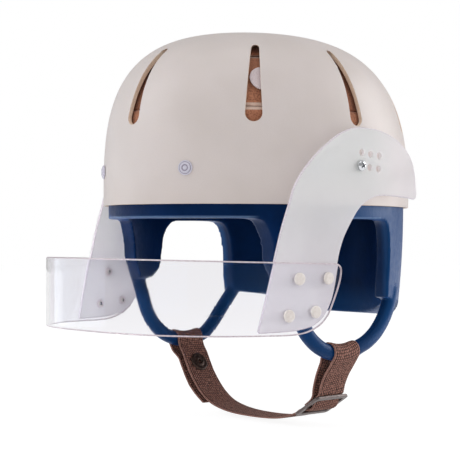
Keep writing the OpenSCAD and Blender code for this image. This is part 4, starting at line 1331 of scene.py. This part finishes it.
def build_snap():
    t = WEB_T / 2
    cap = [(1.5, 0.1), (1.5, 1.1), (1.9, 1.7), (2.6, 2.0), (3.2, 1.85), (3.7, 1.35), (4.6, 1.15), (5.6, 1.3), (6.4, 1.45),
           (7.0, 1.2), (7.4, 0.75), (7.5, 0.35), (7.3, 0.05), (1.5, 0.05), (1.5, 0.1)]
    socket = [(2.62, 0), (2.62, 2.2), (2.9, 2.4), (4.4, 2.4), (5.0, 2.1), (5.35, 1.5), (5.4, 0.6), (5.1, 0.1), (3.0, 0),
              (2.62, 0)]
    stud = [(0, 0), (5.1, 0), (5.4, 0.3), (5.4, 0.8), (5.1, 1.0), (3.2, 1.15), (2.5, 1.6), (2.25, 2.2), (2.4, 3.0),
            (2.1, 3.45), (1.5, 3.6), (0, 3.6)]
    post = [(0, 0), (4.5, 0.02), (5.9, 0.1), (6.9, 0.35), (7.45, 0.75), (7.5, 1.1), (7.3, 1.4), (0, 1.4)]
    for name, prof, h, node in (
            ("snap_ring_cap", cap, t + 0.05, "snap_cap"),
            ("snap_ring_socket", socket, -t - 0.05 - 2.4, "snap_socket"),
            ("snap_ball_stud", stud, -t - SNAP_STACK + 0.05, "snap_stud"),
            ("snap_dome_post", post, -t * 3 - SNAP_STACK - 0.05 - 1.4, "snap_post")):
        o = snap_place(lathe(name, prof, [M_SNAP], 56), h)
        sharpen(o, 50)
        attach(o, "chin_strap")
        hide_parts(node)


build_snap()


def build_slide():
    """Three-bar slide: a flat frame with rounded edges and bars."""
    inner, leg = WEB_W + 1.2, 3.2
    l, w, r = SLIDE_LEN, inner + 2 * leg, 3.0
    line = []
    for cx, cy, a0 in ((1, 1, 0), (-1, 1, 90), (-1, -1, 180), (1, -1, 270)):
        for a in range(0, 91, 9):
            line.append((cx * (l / 2 - r) + r * math.cos(rad(a0 + a)), cy * (w / 2 - r) + r * math.sin(rad(a0 + a))))
    n = len(line)
    v = [(x, y, z) for z in (-SLIDE_T / 2, SLIDE_T / 2) for x, y in line]
    f = [list(range(n))[::-1], [n + i for i in range(n)]]
    f += [(i, (i + 1) % n, n + (i + 1) % n, n + i) for i in range(n)]
    o = fix_normals(mesh("webbing_slide", v, f, [M_SLIDE]))
    for s in (-1, 1):
        hx, hy, c = (SLIDE_PITCH - SLIDE_BAR) / 2, inner / 2, s * SLIDE_PITCH / 2
        q = [(c - hx, -hy), (c + hx, -hy), (c + hx, hy), (c - hx, hy)]
        vv = [(x, y, z) for z in (-4, 4) for x, y in q]
        ff = [(3, 2, 1, 0), (4, 5, 6, 7), (0, 1, 5, 4), (1, 2, 6, 5), (2, 3, 7, 6), (3, 0, 4, 7)]
        cut(o, mesh("window", vv, ff, [M_SLIDE]))
    bevel(o, 0.85, 5, 50)
    m = (Matrix.Translation(Vector((SLIDE_AT[0], 0, SLIDE_AT[1])) * MM)
         @ Matrix.Rotation(rad(-SLIDE_SLOPE), 4, "Y"))
    o.data.transform(m)
    o.name = o.data.name = "webbing_slide"
    sharpen(o, 60)
    weighted(o)
    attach(o, "chin_strap")
    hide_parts("strap_slide")


build_slide()

# stage, light and camera


def build_stage():
    z = -0.1575
    me = bpy.data.meshes.new("floor")
    s = 4.0
    me.from_pydata([(-s, -s, z), (s, -s, z), (s, s, z), (-s, s, z)], [], [(0, 1, 2, 3)])
    me.materials.append(make_stage())
    link(bpy.data.objects.new("floor", me))


build_stage()


def area(name, at, target, size, watts, color=(1, 1, 1), glossy=True):
    d = bpy.data.lights.new(name, "AREA")
    d.shape = "RECTANGLE"
    d.size, d.size_y = size
    d.energy = watts
    d.color = color
    o = link(bpy.data.objects.new(name, d))
    o.location = at
    o.rotation_euler = (Vector(target) - Vector(at)).to_track_quat("-Z", "Y").to_euler()
    o.visible_glossy = glossy
    return d


CAM_TURN, CAM_PITCH, CAM_ROLL, CAM_F, CAM_D = 48.0, 0.27, 0.17, 1313.16, 981.23
CAM_SIDE, CAM_UP = -21.17, -21.55


def build_camera():
    a, pt, ro = rad(CAM_TURN), rad(CAM_PITCH), rad(CAM_ROLL)
    right = Vector((math.cos(a), math.sin(a), 0))
    back = Vector((math.sin(a), -math.cos(a), 0))
    up = Vector((0, 0, 1))
    at = back * CAM_D + right * CAM_SIDE + up * CAM_UP
    fwd = -back * math.cos(pt) + up * math.sin(pt)
    upc = up * math.cos(pt) + back * math.sin(pt)
    r2 = right * math.cos(ro) + upc * math.sin(ro)
    u2 = -right * math.sin(ro) + upc * math.cos(ro)
    cam = bpy.data.cameras.new("camera")
    cam.sensor_width = 36.0
    cam.sensor_fit = "HORIZONTAL"
    cam.lens = CAM_F * 36.0 / 460
    cam.clip_start, cam.clip_end = 0.01, 50
    o = link(bpy.data.objects.new("camera", cam))
    m = Matrix((r2, u2, -fwd)).transposed().to_4x4()
    m.translation = at * MM
    o.matrix_world = m
    bpy.context.scene.camera = o
    return right, back


right, back = build_camera()
aim = Vector((0, -0.02, 0.0))
area("key", back * 0.30 - right * 1.15 + Vector((0, 0, 0.75)), aim, (0.8, 0.9), 3.1)
area("rim", -right * 1.15 - back * 0.35 + Vector((0, 0, 0.1)), aim, (0.8, 0.8), 4.9, (0.82, 0.92, 1.0), False)
area("side", right * 1.15 - back * 0.35 + Vector((0, 0, 0.3)), aim, (0.8, 1.0), 7.2)
area("top", back * 0.25 + Vector((0, 0, 1.25)), aim, (1.0, 1.0), 3.8)
area("low", back * 0.85 - right * 0.45 + Vector((0, 0, -0.02)), aim, (0.6, 0.2), 1.0, glossy=False)
area("front", back * 0.9 + right * 0.75 + Vector((0, 0, 0.0)), aim, (0.7, 0.25), 1.3, glossy=False)
inside = area("inside", (0.24, -0.46, -0.2), (-0.1, -0.07, -0.085), (0.1, 0.1), 0.2, (1, 0.97, 0.98), False)
inside.spread = rad(22)

world = bpy.data.worlds.new("studio")
bpy.context.scene.world = world
world.use_nodes = True
wt = world.node_tree
bg = wt.nodes["Background"]
bg.inputs["Color"].default_value = (1, 1, 1, 1)
bg.inputs["Strength"].default_value = 0.42
rays = wt.nodes.new("ShaderNodeLightPath")
seen = wt.nodes.new("ShaderNodeMath")
seen.operation = "MAXIMUM"
wt.links.new(rays.outputs["Is Camera Ray"], seen.inputs[0])
wt.links.new(rays.outputs["Is Transmission Ray"], seen.inputs[1])
plain = wt.nodes.new("ShaderNodeBackground")
plain.inputs["Color"].default_value = (1, 1, 1, 1)
plain.inputs["Strength"].default_value = 1.0
mixer = wt.nodes.new("ShaderNodeMixShader")
wt.links.new(seen.outputs[0], mixer.inputs[0])
wt.links.new(bg.outputs[0], mixer.inputs[1])
wt.links.new(plain.outputs[0], mixer.inputs[2])
wt.links.new(mixer.outputs[0], wt.nodes["World Output"].inputs["Surface"])

bpy.context.scene.view_settings.view_transform = "Standard"
